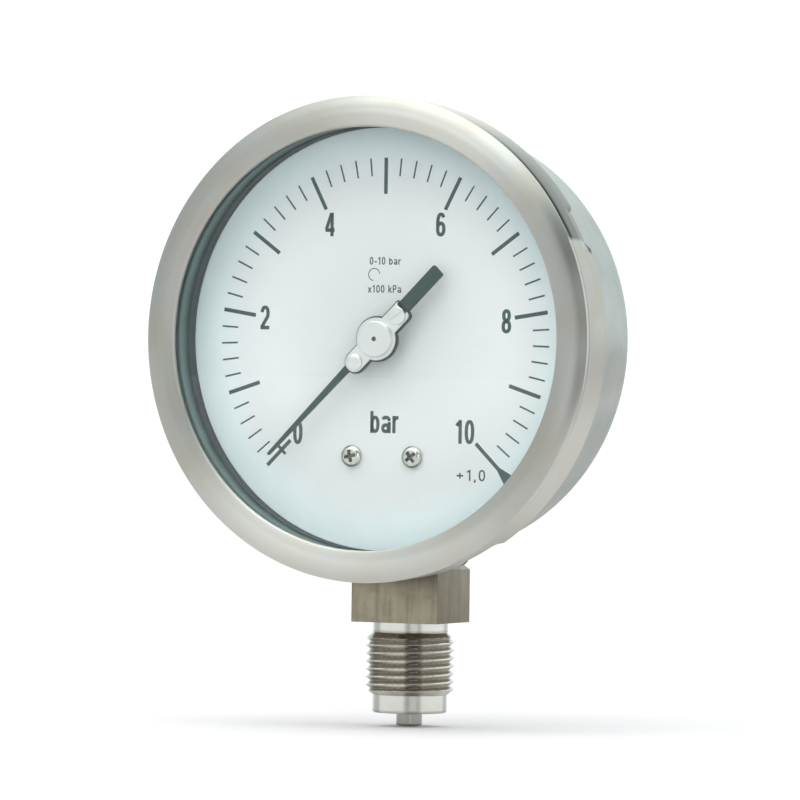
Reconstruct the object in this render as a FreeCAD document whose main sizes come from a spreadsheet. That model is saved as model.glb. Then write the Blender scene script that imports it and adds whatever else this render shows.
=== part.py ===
"""Bourdon-tube pressure gauge, nominal size 100, with a bottom G 1/2 B process connection.

The origin is the centre of the stem's sealing face. +Z runs up the stem, the dial faces -Y and
+X is to the right of somebody reading the dial. Everything in the head is laid out around the
dial's axis, which is parallel to Y at head_height. Along that axis, a station is a distance in
front of the stem's axis, so stations grow towards the reader. Angles about the dial's axis are
counted anticlockwise from +X, as the reader sees them.
"""

import FreeCAD, Part
import math
import os
import re

import Sketcher

SIZES = (
    # process connection, heights above the sealing face
    ("thread_radius", 10.4775),
    ("thread_root", 9.3155),
    ("thread_pitch", 1.814),
    ("thread_groove", 0.605),
    ("thread_grooves", 7),
    ("thread_first", 6.45),
    ("thread_low", 5.6),
    ("thread_high", 17.2),
    ("thread_runout", 1.45),
    ("end_radius", 8.7),
    ("neck_radius", 8.75),
    ("end_chamfer", 0.6),
    ("pilot_radius", 3.0),
    ("pilot_length", 3.0),
    ("pilot_chamfer", 0.4),
    ("passage_radius", 1.5),
    ("passage_top", 50.0),
    ("cross_radius", 1.2),
    ("cross_back", -1.2),
    ("block_low", 21.0),
    ("block_high", 34.5),
    ("block_width", 22.0),
    ("block_depth", 17.8),
    ("block_chamfer", 1.2),
    ("shank_radius", 7.4),
    ("shank_top", 42.5),
    ("head_height", 86.5),
    # case
    ("case_radius", 49.8),
    ("case_wall", 0.8),
    ("case_back", 12.9),
    ("case_corner", 4.0),
    ("flange_back", 16.7),
    ("flange_front", 17.6),
    ("flange_radius", 54.0),
    ("flange_gap_depth", 2.2),
    ("flange_gap_length", 15.0),
    ("stem_hole_radius", 7.7),
    ("seal_radius", 10.2),
    ("seal_top", 36.65),
    # bayonet ring
    ("ring_radius", 55.9),
    ("ring_skirt_radius", 55.4),
    ("ring_inner_radius", 54.4),
    ("ring_lip_radius", 48.44),
    ("ring_back", 15.4),
    ("ring_lip_back", 26.3),
    ("ring_lip_front", 27.55),
    ("ring_crest", 28.1),
    ("ring_crest_radius", 52.0),
    ("ring_shoulder", 27.0),
    ("ring_shoulder_radius", 55.5),
    ("ring_edge", 26.3),
    ("ring_dome_radius", 6.0),
    ("ring_edge_round", 0.4),
    ("ring_lip_round", 0.5),
    ("tab_front", 16.4),
    ("tab_inner_radius", 52.6),
    ("tab_angle", 11.6),
    ("tab_count", 4),
    ("tab_bearing", 28.0),
    ("ring_unlock", 20.0),
    # window and gasket
    ("window_back", 22.2),
    ("window_front", 26.2),
    ("window_radius", 53.6),
    ("window_chamfer", 0.3),
    ("gasket_inner_radius", 49.0),
    # dial
    ("dial_back", 14.1),
    ("dial_front", 14.8),
    ("dial_radius", 48.7),
    ("dial_hole_radius", 3.6),
    ("dial_screw_hole", 1.35),
    ("dial_screw_x", 7.7),
    ("dial_screw_drop", 27.0),
    ("dial_screw_head", 2.55),
    ("dial_screw_height", 1.5),
    ("dial_screw_shank", 1.2),
    ("dial_screw_length", 6.0),
    ("post_radius", 2.0),
    ("post_bore", 1.25),
    ("post_bore_depth", 7.0),
    # pointer, measured from the dial's axis
    ("pointer_bearing", 225.0),
    ("bush_back", 15.3),
    ("bush_flange", 17.87),
    ("blade_back", 17.9),
    ("blade_front", 18.7),
    ("plate_back", 18.73),
    ("plate_front", 19.2),
    ("boss_front", 20.3),
    ("bush_radius", 3.0),
    ("bush_neck", 2.5),
    ("boss_radius", 4.2),
    ("boss_sight_hole", 0.55),
    ("arbor_tip", 18.8),
    ("hub_radius", 5.2),
    ("lobe_centre", 7.6),
    ("lobe_radius", 2.6),
    ("plate_margin", 0.25),
    ("plate_notch_half", 1.4),
    ("plate_notch_start", 9.3),
    ("tip_length", 38.6),
    ("tip_half", 0.33),
    ("root_half", 0.9),
    ("root_start", 5.0),
    ("tail_length", 22.2),
    ("tail_half", 1.375),
    ("trim_hole", 1.4),
    ("rivet_radius", 2.0),
    ("rivet_height", 0.55),
    ("pin_radius", 0.8),
    ("trim_head", 2.1),
    ("trim_height", 0.6),
    ("trim_slot_half", 0.28),
    ("trim_slot_depth", 0.35),
    ("trim_fit", 0.04),
    # movement
    ("front_plate_front", 12.6),
    ("front_plate_back", 11.4),
    ("back_plate_front", 3.6),
    ("back_plate_back", 2.4),
    ("plate_half_width", 11.5),
    ("plate_top", 8.5),
    ("plate_waist", 8.0),
    ("plate_low", 24.6),
    ("pillar_radius", 1.5),
    ("pillar_x", 9.0),
    ("pillar_up", 5.5),
    ("pillar_low_x", 8.5),
    ("pillar_low", 14.0),
    ("plate_screw_head", 1.6),
    ("plate_screw_height", 0.7),
    ("plate_screw_slot", 0.2),
    ("movement_screw_x", 6.4),
    ("movement_screw_drop", 22.4),
    ("movement_screw_radius", 1.2),
    ("movement_screw_head", 2.1),
    ("movement_screw_end", 3.0),
    ("arbor_radius", 1.0),
    ("bearing_fit", 0.04),
    ("arbor_back", 1.9),
    ("gear_module", 0.25),
    ("pinion_teeth", 12),
    ("sector_teeth", 120),
    ("sector_teeth_cut", 13),
    ("tooth_addendum", 0.8),
    ("tooth_dedendum", 1.25),
    ("pressure_angle", 25.0),
    ("backlash", 0.05),
    ("pinion_front", 9.0),
    ("pinion_back", 6.2),
    ("sector_front", 8.2),
    ("sector_back", 7.0),
    ("sector_hub", 2.5),
    ("sector_hub_front", 9.2),
    ("sector_rim", 2.0),
    ("sector_arbor_front", 12.3),
    ("sector_swing", 27.0),
    ("tail_arm", 7.4),
    ("tail_arm_half", 1.2),
    ("tail_pin_radius", 0.6),
    ("link_slope", 35.0),
    ("link_length", 22.0),
    ("link_half", 1.2),
    ("link_front", 6.4),
    ("link_back", 5.6),
    ("link_eye", 0.77),
    ("collet_radius", 1.7),
    ("collet_front", 11.1),
    ("collet_back", 9.3),
    ("spring_inner", 2.3),
    ("spring_pitch", 1.15),
    ("spring_turns", 3.25),
    ("spring_strip", 0.2),
    ("spring_front", 10.8),
    ("spring_back", 9.9),
    ("stud_half", 0.8),
    # pressure element
    ("tube_mean_radius", 38.0),
    ("tube_station", -2.9),
    ("tube_half_width", 4.5),
    ("tube_half_thickness", 2.0),
    ("tube_wall", 0.45),
    ("tube_start", 262.0),
    ("tube_end", -20.0),
    ("end_block_angle", 6.0),
    ("end_block_gap", 0.03),
    ("end_block_margin", 0.4),
    ("arm_front", 1.2),
    ("arm_back", -1.0),
    ("arm_half", 1.8),
    ("tip_pin_radius", 0.8),
    ("tip_pin_front", 6.8),
    ("flex_centre_x", -6.0),
    ("flex_centre_up", 13.0),
    ("flex_swing", 5.7),
    ("holder_half_width", 12.0),
    ("holder_top_drop", 20.5),
    ("holder_fit", 0.05),
    # fasteners and plug on the back
    ("case_screw_x", 7.5),
    ("case_screw_drop", 40.5),
    ("case_screw_head", 3.4),
    ("case_screw_height", 1.8),
    ("case_screw_shank", 1.7),
    ("case_screw_end", 8.2),
    ("case_screw_hole", 1.9),
    ("plug_up", 26.0),
    ("plug_hole", 8.0),
    ("plug_head", 10.0),
    ("plug_height", 1.5),
    ("plug_lip", 8.8),
)

X_AXIS = FreeCAD.Vector(1, 0, 0)
Y_AXIS = FreeCAD.Vector(0, 1, 0)
Z_AXIS = FreeCAD.Vector(0, 0, 1)
FORWARD = FreeCAD.Rotation(X_AXIS, 90)
CENTRE = "head_height"

doc = FreeCAD.newDocument("pressure_gauge")
sizes = doc.addObject("Spreadsheet::Sheet", "Sizes")
for row, (alias, number) in enumerate(SIZES, 1):
    sizes.set(f"A{row}", alias)
    sizes.set(f"B{row}", str(number))
    sizes.setAlias(f"B{row}", alias)
doc.recompute()

SPELLING = {alias: f"Sizes.{alias}" for alias, _ in SIZES}
subparts = []


# --- sizes and expressions ---------------------------------------------------------------


def cells(text):
    """An expression in the sheet's aliases, spelt out for the document."""
    return re.sub(r"[a-z][a-z_]+", lambda word: SPELLING.get(word.group(), word.group()), str(text))


def value(text):
    """What a formula of the sheet comes to, in millimetres or degrees."""
    return float(sizes.evalExpression(cells(text)))


def bind(thing, **formulas):
    """Tie properties such as Radius or Placement_Base_z to the sheet."""
    for path, text in formulas.items():
        thing.setExpression(path.replace("_", "."), cells(text))


def keep(label, thing):
    """Name a finished sub-part and put it on the list that is written out."""
    thing.Label = label
    subparts.append(thing)
    return thing


# --- bodies made from sketches -----------------------------------------------------------


def new_body(label, x="0", z=CENTRE, turn=0.0):
    """A body whose own XZ origin sits at x, z, turned clockwise for the reader."""
    body = doc.addObject("PartDesign::Body", f"{label}_body")
    body.Placement = FreeCAD.Placement(FreeCAD.Vector(), FreeCAD.Rotation(Y_AXIS, turn))
    bind(body, Placement_Base_x=x, Placement_Base_z=z)
    return keep(label, body)


def origin_feature(body, role):
    """One of the planes or axes of a body's origin."""
    return next(part for part in body.Origin.OriginFeatures if part.Role == role)


def new_sketch(body, name, plane, station="0", turn=0.0):
    """A sketch on a plane of the body's origin, moved forward to a station."""
    sketch = body.newObject("Sketcher::SketchObject", f"{body.Name}_{name}")
    sketch.AttachmentSupport = [(origin_feature(body, plane), "")]
    sketch.MapMode = "FlatFace"
    sketch.AttachmentOffset = FreeCAD.Placement(
        FreeCAD.Vector(), FreeCAD.Rotation(Z_AXIS, turn)
    )
    bind(sketch, AttachmentOffset_Base_z=station)
    return sketch


def limit(sketch, text, kind, *where):
    """Add one dimension to a sketch and tie it to the sheet."""
    index = sketch.addConstraint(Sketcher.Constraint(kind, *where, value(text)))
    sketch.setExpression(f"Constraints[{index}]", cells(text))


def pin_point(sketch, geometry, end, across, up):
    """Tie one end of a line, or a circle's centre, to a place in the sketch."""
    limit(sketch, across, "DistanceX", -1, 1, geometry, end)
    limit(sketch, up, "DistanceY", -1, 1, geometry, end)


def side(sketch, start, finish, radius):
    """A straight side, or an arc whose centre is on the right of the way from start to finish.

    Returns the geometry's number and its ends' numbers, start first.
    """
    if radius is None:
        return sketch.addGeometry(Part.LineSegment(start, finish), False), 1, 2
    chord = finish - start
    middle = (start + finish) * 0.5
    right = FreeCAD.Vector(chord.y, -chord.x, 0).normalize()
    centre = middle + right * math.sqrt(value(radius) ** 2 - (chord.Length / 2) ** 2)
    first, last = (
        math.atan2(point.y - centre.y, point.x - centre.x) for point in (finish, start)
    )
    circle = Part.Circle(centre, Z_AXIS, value(radius))
    number = sketch.addGeometry(Part.ArcOfCircle(circle, first, last), False)
    return number, 2, 1


def draw_outline(sketch, corners):
    """A closed loop through corners (across, up), or (across, up, radius) before an arc."""
    points = [FreeCAD.Vector(value(c[0]), value(c[1]), 0) for c in corners]
    sides = []
    for corner, start, finish in zip(corners, points, points[1:] + points[:1]):
        sides.append(side(sketch, start, finish, corner[2] if len(corner) > 2 else None))
    for this, after in zip(sides, sides[1:] + sides[:1]):
        sketch.addConstraint(Sketcher.Constraint("Coincident", this[0], this[2], after[0], after[1]))
    for corner, drawn in zip(corners, sides):
        pin_point(sketch, drawn[0], drawn[1], corner[0], corner[1])
        if len(corner) > 2:
            limit(sketch, corner[2], "Radius", drawn[0])


def draw_circle(sketch, radius, across="0", up="0"):
    """Draw a circle with its radius and centre tied to the sheet."""
    centre = FreeCAD.Vector(value(across), value(up), 0)
    number = sketch.addGeometry(Part.Circle(centre, Z_AXIS, value(radius)), False)
    limit(sketch, radius, "Radius", number)
    pin_point(sketch, number, 3, across, up)


def along_dial_axis(corners):
    """Corners given as (station, radius) for a sketch on the YZ plane."""
    return [(f"-({corner[0]})", *corner[1:]) for corner in corners]


def revolve(body, name, corners, angle=360.0, kind="Revolution"):
    """Turn a (station, radius) outline about the dial's axis, half the angle to each side of +Z."""
    sketch = new_sketch(body, f"{name}_sketch", "YZ_Plane")
    draw_outline(sketch, along_dial_axis(corners))
    step = body.newObject(f"PartDesign::{kind}", f"{body.Name}_{name}")
    step.Profile = sketch
    step.ReferenceAxis = (sketch, ["H_Axis"])
    step.Angle = angle
    step.Midplane = angle < 360
    return step


def pad(body, name, draw, back, front, turn=0.0):
    """Extrude what draw(sketch) draws on the XZ plane from one station forward to another."""
    sketch = new_sketch(body, f"{name}_sketch", "XZ_Plane", back, turn)
    draw(sketch)
    step = body.newObject("PartDesign::Pad", f"{body.Name}_{name}")
    step.Profile = sketch
    bind(step, Length=f"({front}) - ({back})")
    return step


def pocket(body, name, draw, front, back, turn=0.0):
    """Cut what draw(sketch) draws on the XZ plane from one station back to another."""
    sketch = new_sketch(body, f"{name}_sketch", "XZ_Plane", front, turn)
    draw(sketch)
    before = body.Tip.Shape.Volume if body.Tip.Shape.Solids else 0.0
    step = body.newObject("PartDesign::Pocket", f"{body.Name}_{name}")
    step.Profile = sketch
    bind(step, Length=f"({front}) - ({back})")
    doc.recompute()
    if step.Shape.Volume >= before:
        raise RuntimeError(f"{step.Name} cuts nothing")
    return step


def repeat_around(body, name, step, count):
    """Repeat a step evenly about the dial's axis."""
    pattern = body.newObject("PartDesign::PolarPattern", f"{body.Name}_{name}")
    pattern.Originals = [step]
    pattern.Axis = (origin_feature(body, "Y_Axis"), [""])
    pattern.Angle = 360
    bind(pattern, Occurrences=count)
    body.Tip = pattern
    return pattern


def rims(shape, places):
    """Names of the circular edges about the dial's axis at the given (station, radius) places."""
    names = []
    for number, edge in enumerate(shape.Edges, 1):
        if not isinstance(edge.Curve, Part.Circle):
            continue
        for station, radius in places:
            off = abs(edge.Curve.Radius - value(radius)), abs(edge.Curve.Center.y + value(station))
            if max(off) < 1e-4:
                names.append(f"Edge{number}")
    return names


def dress(body, name, places, size, kind="Fillet"):
    """Round or chamfer the rims at the given places on the body's latest feature."""
    doc.recompute()
    base = body.Tip
    step = body.newObject(f"PartDesign::{kind}", f"{body.Name}_{name}")
    step.Base = (base, rims(base.Shape, places))
    bind(step, **{"Radius" if kind == "Fillet" else "Size": size})
    return step


# --- solids made from primitives ---------------------------------------------------------


def bar(name, radius, back, front, x="0", up="0", front_radius=None):
    """A round bar, or a cone with front_radius, parallel to the dial's axis."""
    kind = "Cylinder" if front_radius is None else "Cone"
    solid = doc.addObject(f"Part::{kind}", name)
    solid.Placement = FreeCAD.Placement(FreeCAD.Vector(), FORWARD)
    bind(
        solid,
        Height=f"({front}) - ({back})",
        Placement_Base_x=x,
        Placement_Base_y=f"-({back})",
        Placement_Base_z=f"head_height + ({up})",
    )
    if kind == "Cylinder":
        bind(solid, Radius=radius)
    else:
        bind(solid, Radius1=radius, Radius2=front_radius)
    return solid


def box(name, low, high):
    """A block between two corners, each (x, station, height above the dial's axis)."""
    solid = doc.addObject("Part::Box", name)
    bind(
        solid,
        Length=f"({high[0]}) - ({low[0]})",
        Width=f"({high[1]}) - ({low[1]})",
        Height=f"({high[2]}) - ({low[2]})",
        Placement_Base_x=low[0],
        Placement_Base_y=f"-({high[1]})",
        Placement_Base_z=f"head_height + ({low[2]})",
    )
    return solid


def join(name, solids):
    """A fusion of solids, kept as an object of its own."""
    fused = doc.addObject("Part::MultiFuse", name)
    fused.Shapes = solids
    return fused


def cut(name, base, tools):
    """A solid with one or more others taken away from it."""
    tool = tools[0] if len(tools) == 1 else join(f"{name}_tools", tools)
    result = doc.addObject("Part::Cut", name)
    result.Base = base
    result.Tool = tool
    return result


def stack(name, steps, bores=(), x="0", up="0"):
    """Coaxial bars (radius, back, front) joined into one solid, less the bores."""
    bars = [bar(f"{name}_step_{n}", *step, x, up) for n, step in enumerate(steps, 1)]
    solid = bars[0] if len(bars) == 1 else join(f"{name}_blank", bars)
    if bores:
        solid = cut(name, solid, [bar(f"{name}_bore_{n}", *b, x, up) for n, b in enumerate(bores, 1)])
    return solid


def group(label, solids):
    """Identical loose pieces kept together as one sub-part."""
    together = doc.addObject("Part::Compound", f"{label}_group")
    together.Links = solids
    return keep(label, together)


def pan_head(name, face, head, height, shank, end, x, up, slot, crossed):
    """A pan-head screw seated on a forward-facing face, with a slot or a cross in its head."""
    rise = f"({height}) * 0.55"
    low = bar(f"{name}_head", head, face, f"({face}) + {rise}", x, up)
    crown = bar(
        f"{name}_crown", head, f"({face}) + {rise}", f"({face}) + ({height})", x, up, f"({head}) * 0.7"
    )
    body = bar(f"{name}_shank", shank, end, face, x, up)
    solid = join(f"{name}_blank", [low, crown, body])
    reach = f"({head}) * {0.62 if crossed else 1.1}"
    floor, top = f"({face}) + ({height}) * 0.4", f"({face}) + ({height}) + 1"
    slots = [
        box(
            f"{name}_slot",
            (f"({x}) - {reach}", floor, f"({up}) - ({slot})"),
            (f"({x}) + {reach}", top, f"({up}) + ({slot})"),
        )
    ]
    if crossed:
        slots.append(
            box(
                f"{name}_cross",
                (f"({x}) - ({slot})", floor, f"({up}) - {reach}"),
                (f"({x}) + ({slot})", top, f"({up}) + {reach}"),
            )
        )
    return cut(f"{name}_screw", solid, slots)


def feature(label, shape, x=0.0, up=0.0, turn=0.0):
    """A sub-part whose shape is set by a formula, placed and turned about the dial's direction."""
    part = doc.addObject("Part::Feature", f"{label}_solid")
    part.Shape = shape
    part.Placement = FreeCAD.Placement(
        FreeCAD.Vector(x, 0, value(CENTRE) + up), FreeCAD.Rotation(Y_AXIS, turn)
    )
    return keep(label, part)


def prism(points, back, front):
    """A prism over (x, up) points between two stations."""
    loop = [FreeCAD.Vector(x, -value(back), up) for x, up in points]
    face = Part.Face(Part.makePolygon(loop + loop[:1]))
    return face.extrude(FreeCAD.Vector(0, value(back) - value(front), 0))


def round_bar(radius, back, front, x=0.0, up=0.0):
    """A plain shape of a round bar parallel to the dial's axis."""
    start = FreeCAD.Vector(x, -value(back), up)
    return Part.makeCylinder(value(radius), value(front) - value(back), start, -Y_AXIS)


# --- the movement's geometry -------------------------------------------------------------


def turned(point, centre, angle):
    """An (x, up) point turned anticlockwise about a centre."""
    c, s = math.cos(math.radians(angle)), math.sin(math.radians(angle))
    x, up = point[0] - centre[0], point[1] - centre[1]
    return centre[0] + c * x - s * up, centre[1] + s * x + c * up


def linkage():
    """Where the linkage's points lie at zero pressure: sector pivot, tail pin, tip pin."""
    pivot = (0.0, -value("gear_module * (pinion_teeth + sector_teeth) / 2"))
    slope = math.radians(value("link_slope"))
    tail = value("tail_arm")
    length = value("link_length")
    tail_mid = (pivot[0] + tail * math.sin(slope), pivot[1] - tail * math.cos(slope))
    tip_mid = (tail_mid[0] + length * math.cos(slope), tail_mid[1] + length * math.sin(slope))
    flex_centre = (value("flex_centre_x"), value("flex_centre_up"))
    tail_pin = turned(tail_mid, pivot, -value("sector_swing / 2"))
    tip_pin = turned(tip_mid, flex_centre, -value("flex_swing / 2"))
    return pivot, tail_pin, tip_pin


def involute(angle):
    """The involute function, for an angle in radians."""
    return math.tan(angle) - angle


def tooth(teeth, middle):
    """The (x, up) points of one gear tooth centred on the angle middle, in radians."""
    module = value("gear_module")
    slope = math.radians(value("pressure_angle"))
    pitch = module * teeth / 2
    base = pitch * math.cos(slope)
    root = pitch - value("tooth_dedendum") * module
    top = pitch + value("tooth_addendum") * module
    half = math.pi / (2 * teeth) - value("backlash") / (2 * pitch) + involute(slope)
    start = max(base, root)
    radii = [start + (top - start) * step / 3 for step in range(4)]
    flank = [(radius, half - involute(math.acos(base / radius))) for radius in radii]
    if root < base:
        flank.insert(0, (root, half))
    turns = [(r, middle - a) for r, a in flank] + [(r, middle + a) for r, a in reversed(flank)]
    return [(r * math.cos(a), r * math.sin(a)) for r, a in turns]


def spiral_strip():
    """A flat spiral strip about the origin, from the collet out to the stud."""
    inner, pitch = value("spring_inner"), value("spring_pitch")
    turns, half = value("spring_turns"), value("spring_strip / 2")
    steps = int(24 * turns)

    def edge(offset):
        points = []
        for step in range(steps + 1):
            angle = 2 * math.pi * turns * step / steps
            radius = inner + pitch * angle / (2 * math.pi) + offset
            points.append(
                FreeCAD.Vector(radius * math.cos(angle), -value("spring_back"), radius * math.sin(angle))
            )
        curve = Part.BSplineCurve()
        curve.interpolate(points)
        return curve.toShape(), points

    near, near_points = edge(-half)
    far, far_points = edge(half)
    ends = [
        Part.LineSegment(near_points[i], far_points[i]).toShape() for i in (0, -1)
    ]
    wire = Part.Wire(Part.__sortEdges__([near, ends[1], far, ends[0]]))
    return Part.Face(wire).extrude(FreeCAD.Vector(0, value("spring_back - spring_front"), 0))


# --- sub-parts: process connection -------------------------------------------------------


def make_socket():
    """Square wrench block, threaded stem and pilot below it, and a round shank above it."""
    body = new_body("socket", z="0")
    sketch = new_sketch(body, "stem_sketch", "XZ_Plane")
    draw_outline(
        sketch,
        [
            ("0", "-pilot_length"),
            ("pilot_radius - pilot_chamfer", "-pilot_length"),
            ("pilot_radius", "pilot_chamfer - pilot_length"),
            ("pilot_radius", "0"),
            ("end_radius - end_chamfer", "0"),
            ("end_radius", "end_chamfer"),
            ("end_radius", "thread_low - thread_runout"),
            ("thread_radius", "thread_low"),
            ("thread_radius", "thread_high"),
            ("neck_radius", "thread_high + thread_runout"),
            ("neck_radius", "block_low"),
            ("shank_radius", "block_low"),
            ("shank_radius", "shank_top"),
            ("0", "shank_top"),
        ],
    )
    stem = body.newObject("PartDesign::Revolution", "socket_stem")
    stem.Profile = sketch
    stem.ReferenceAxis = (sketch, ["V_Axis"])
    stem.Angle = 360

    square = new_sketch(body, "block_sketch", "XY_Plane", "block_low")
    draw_outline(
        square,
        [
            ("-block_width / 2", "-block_depth / 2"),
            ("block_width / 2", "-block_depth / 2"),
            ("block_width / 2", "block_depth / 2"),
            ("-block_width / 2", "block_depth / 2"),
        ],
    )
    block = body.newObject("PartDesign::Pad", "socket_block")
    block.Profile = square
    bind(block, Length="block_high - block_low")
    doc.recompute()

    top = [
        f"Edge{number}"
        for number, edge in enumerate(block.Shape.Edges, 1)
        if isinstance(edge.Curve, Part.Line)
        and all(abs(vertex.Z - value("block_high")) < 1e-4 for vertex in edge.Vertexes)
    ]
    bevel = body.newObject("PartDesign::Chamfer", "socket_bevel")
    bevel.Base = (block, top)
    bind(bevel, Size="block_chamfer")

    groove_sketch = new_sketch(body, "groove_sketch", "XZ_Plane")
    draw_outline(
        groove_sketch,
        [
            ("thread_root", "thread_first"),
            ("thread_radius + 0.01", "thread_first - thread_groove"),
            ("thread_radius + 0.01", "thread_first + thread_groove"),
        ],
    )
    groove = body.newObject("PartDesign::Groove", "socket_groove")
    groove.Profile = groove_sketch
    groove.ReferenceAxis = (groove_sketch, ["V_Axis"])
    groove.Angle = 360
    thread = body.newObject("PartDesign::LinearPattern", "socket_thread")
    thread.Originals = [groove]
    thread.Direction = (origin_feature(body, "Z_Axis"), [""])
    bind(thread, Length="thread_pitch * (thread_grooves - 1)", Occurrences="thread_grooves")
    body.Tip = thread

    passage_sketch = new_sketch(body, "passage_sketch", "XZ_Plane")
    draw_outline(
        passage_sketch,
        [
            ("0", "-pilot_length - 1"),
            ("passage_radius", "-pilot_length - 1"),
            ("passage_radius", "shank_top + 1"),
            ("0", "shank_top + 1"),
        ],
    )
    passage = body.newObject("PartDesign::Groove", "socket_passage")
    passage.Profile = passage_sketch
    passage.ReferenceAxis = (passage_sketch, ["V_Axis"])
    passage.Angle = 360


def make_socket_seal():
    """Rubber ring around the shank, squeezed between the wrench block and the case."""
    blank = doc.addObject("Part::Cylinder", "seal_blank")
    bore = doc.addObject("Part::Cylinder", "seal_bore")
    for solid, radius in ((blank, "seal_radius"), (bore, "shank_radius")):
        bind(solid, Radius=radius, Height="seal_top - block_high", Placement_Base_z="block_high")
    keep("socket_seal", cut("seal_ring", blank, [bore]))


def make_tube_holder():
    """Block welded on the shank inside the case. It carries the tube, the movement and the dial."""
    low = "shank_top - head_height"
    blank = box(
        "holder_blank",
        ("-holder_half_width", "case_wall - case_back", low),
        ("holder_half_width", "back_plate_back", "-holder_top_drop"),
    )
    bores = [
        bar(f"holder_screw_hole_{n}", "case_screw_shank + holder_fit", "-case_back", "-case_screw_end", x,
            "-case_screw_drop")
        for n, x in enumerate(("-case_screw_x", "case_screw_x"), 1)
    ]
    bores += [
        bar(f"holder_movement_hole_{n}", "movement_screw_radius + holder_fit", "-movement_screw_end - 1",
            "back_plate_back + 1", x, "-movement_screw_drop")
        for n, x in enumerate(("-movement_screw_x", "movement_screw_x"), 1)
    ]
    passage = doc.addObject("Part::Cylinder", "holder_passage")
    bind(passage, Radius="passage_radius", Height="passage_top - shank_top", Placement_Base_z="shank_top")
    slot = doc.addObject("PartDesign::Body", "holder_slot_body")
    slot.Placement = FreeCAD.Placement(
        FreeCAD.Vector(), FreeCAD.Rotation(Y_AXIS, 90 - value("tube_start") + 8)
    )
    bind(slot, Placement_Base_z=CENTRE)
    revolve(slot, "slot", tube_box("holder_fit"), angle=16.4)
    cross = doc.addObject("Part::Cylinder", "holder_cross_passage")
    cross.Placement = FreeCAD.Placement(FreeCAD.Vector(), FreeCAD.Rotation(Y_AXIS, -90))
    bind(
        cross,
        Radius="cross_radius",
        Height="tube_mean_radius * 0.2",
        Placement_Base_y="-cross_back",
        Placement_Base_z="head_height + tube_mean_radius * sin(tube_start)",
    )
    keep("tube_holder", cut("holder_block", blank, [*bores, passage, cross, slot]))


# --- sub-parts: case, ring and window ----------------------------------------------------


def make_case():
    """Deep-drawn cup with a flange that the ring's tabs grip, and holes for stem, screws and plug."""
    body = new_body("case_shell")
    inner = "case_radius - case_wall"
    revolve(
        body,
        "cup",
        [
            ("flange_front", inner),
            ("flange_front", "flange_radius"),
            ("flange_back", "flange_radius"),
            ("flange_back", "case_radius"),
            ("-case_back", "case_radius"),
            ("-case_back", "0"),
            ("case_wall - case_back", "0"),
            ("case_wall - case_back", inner),
        ],
    )
    dress(body, "outer_corner", [("-case_back", "case_radius")], "case_corner")
    dress(body, "inner_corner", [("case_wall - case_back", inner)], "case_corner - case_wall")
    doc.recompute()

    half = value("flange_gap_length / 2")

    def gap(sketch):
        reach = ("flange_radius - flange_gap_depth", "flange_radius + 1")
        draw_outline(sketch, [(reach[0], -half), (reach[1], -half), (reach[1], half), (reach[0], half)])

    gaps = pocket(
        body, "gap", gap, "flange_front + 1", "flange_back - 0.5", value("tab_bearing + ring_unlock")
    )
    repeat_around(body, "gaps", gaps, "tab_count")
    doc.recompute()

    def back_holes(sketch):
        for x in ("-case_screw_x", "case_screw_x"):
            draw_circle(sketch, "case_screw_hole", x, "-case_screw_drop")
        draw_circle(sketch, "plug_hole", "0", "plug_up")

    pocket(body, "back_holes", back_holes, "1 - case_back + case_wall", "-case_back - 1")

    stem = new_sketch(body, "stem_hole_sketch", "XY_Plane")
    draw_circle(stem, "stem_hole_radius")
    hole = body.newObject("PartDesign::Pocket", "case_stem_hole")
    hole.Profile = stem
    bind(hole, Length="case_radius + 1")


def make_bayonet_ring():
    """Domed front ring with a skirt and four inward tabs that hook behind the case's flange."""
    body = new_body("bayonet_ring", turn=-value("tab_bearing"))
    revolve(
        body,
        "hoop",
        [
            ("ring_lip_back", "ring_lip_radius"),
            ("ring_lip_front", "ring_lip_radius"),
            ("ring_crest", "ring_crest_radius", "ring_dome_radius"),
            ("ring_shoulder", "ring_shoulder_radius"),
            ("ring_edge", "ring_radius"),
            ("ring_back", "ring_skirt_radius"),
            ("ring_back", "ring_inner_radius"),
            ("ring_lip_back", "ring_inner_radius"),
        ],
    )
    edges = [("ring_shoulder", "ring_shoulder_radius"), ("ring_edge", "ring_radius")]
    dress(body, "edge", edges, "ring_edge_round")
    dress(body, "lip", [("ring_lip_front", "ring_lip_radius")], "ring_lip_round")
    doc.recompute()
    tab = revolve(
        body,
        "tab",
        [
            ("ring_back", "tab_inner_radius"),
            ("ring_back", "ring_inner_radius + 0.3"),
            ("tab_front", "ring_inner_radius + 0.3"),
            ("tab_front", "tab_inner_radius"),
        ],
        angle=value("tab_angle"),
    )
    repeat_around(body, "tabs", tab, "tab_count")


def make_window():
    """Bevelled pane, and the gasket ring between it and the case's flange."""
    body = new_body("window")
    pad(body, "pane", lambda s: draw_circle(s, "window_radius"), "window_back", "window_front")
    rim = [("window_back", "window_radius"), ("window_front", "window_radius")]
    dress(body, "bevel", rim, "window_chamfer", "Chamfer")
    gasket = [("window_radius", "flange_front", "window_back")]
    bore = [("gasket_inner_radius", "flange_front - 1", "window_back + 1")]
    keep("window_gasket", stack("gasket", gasket, bore))


# --- sub-parts: dial ---------------------------------------------------------------------


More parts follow.
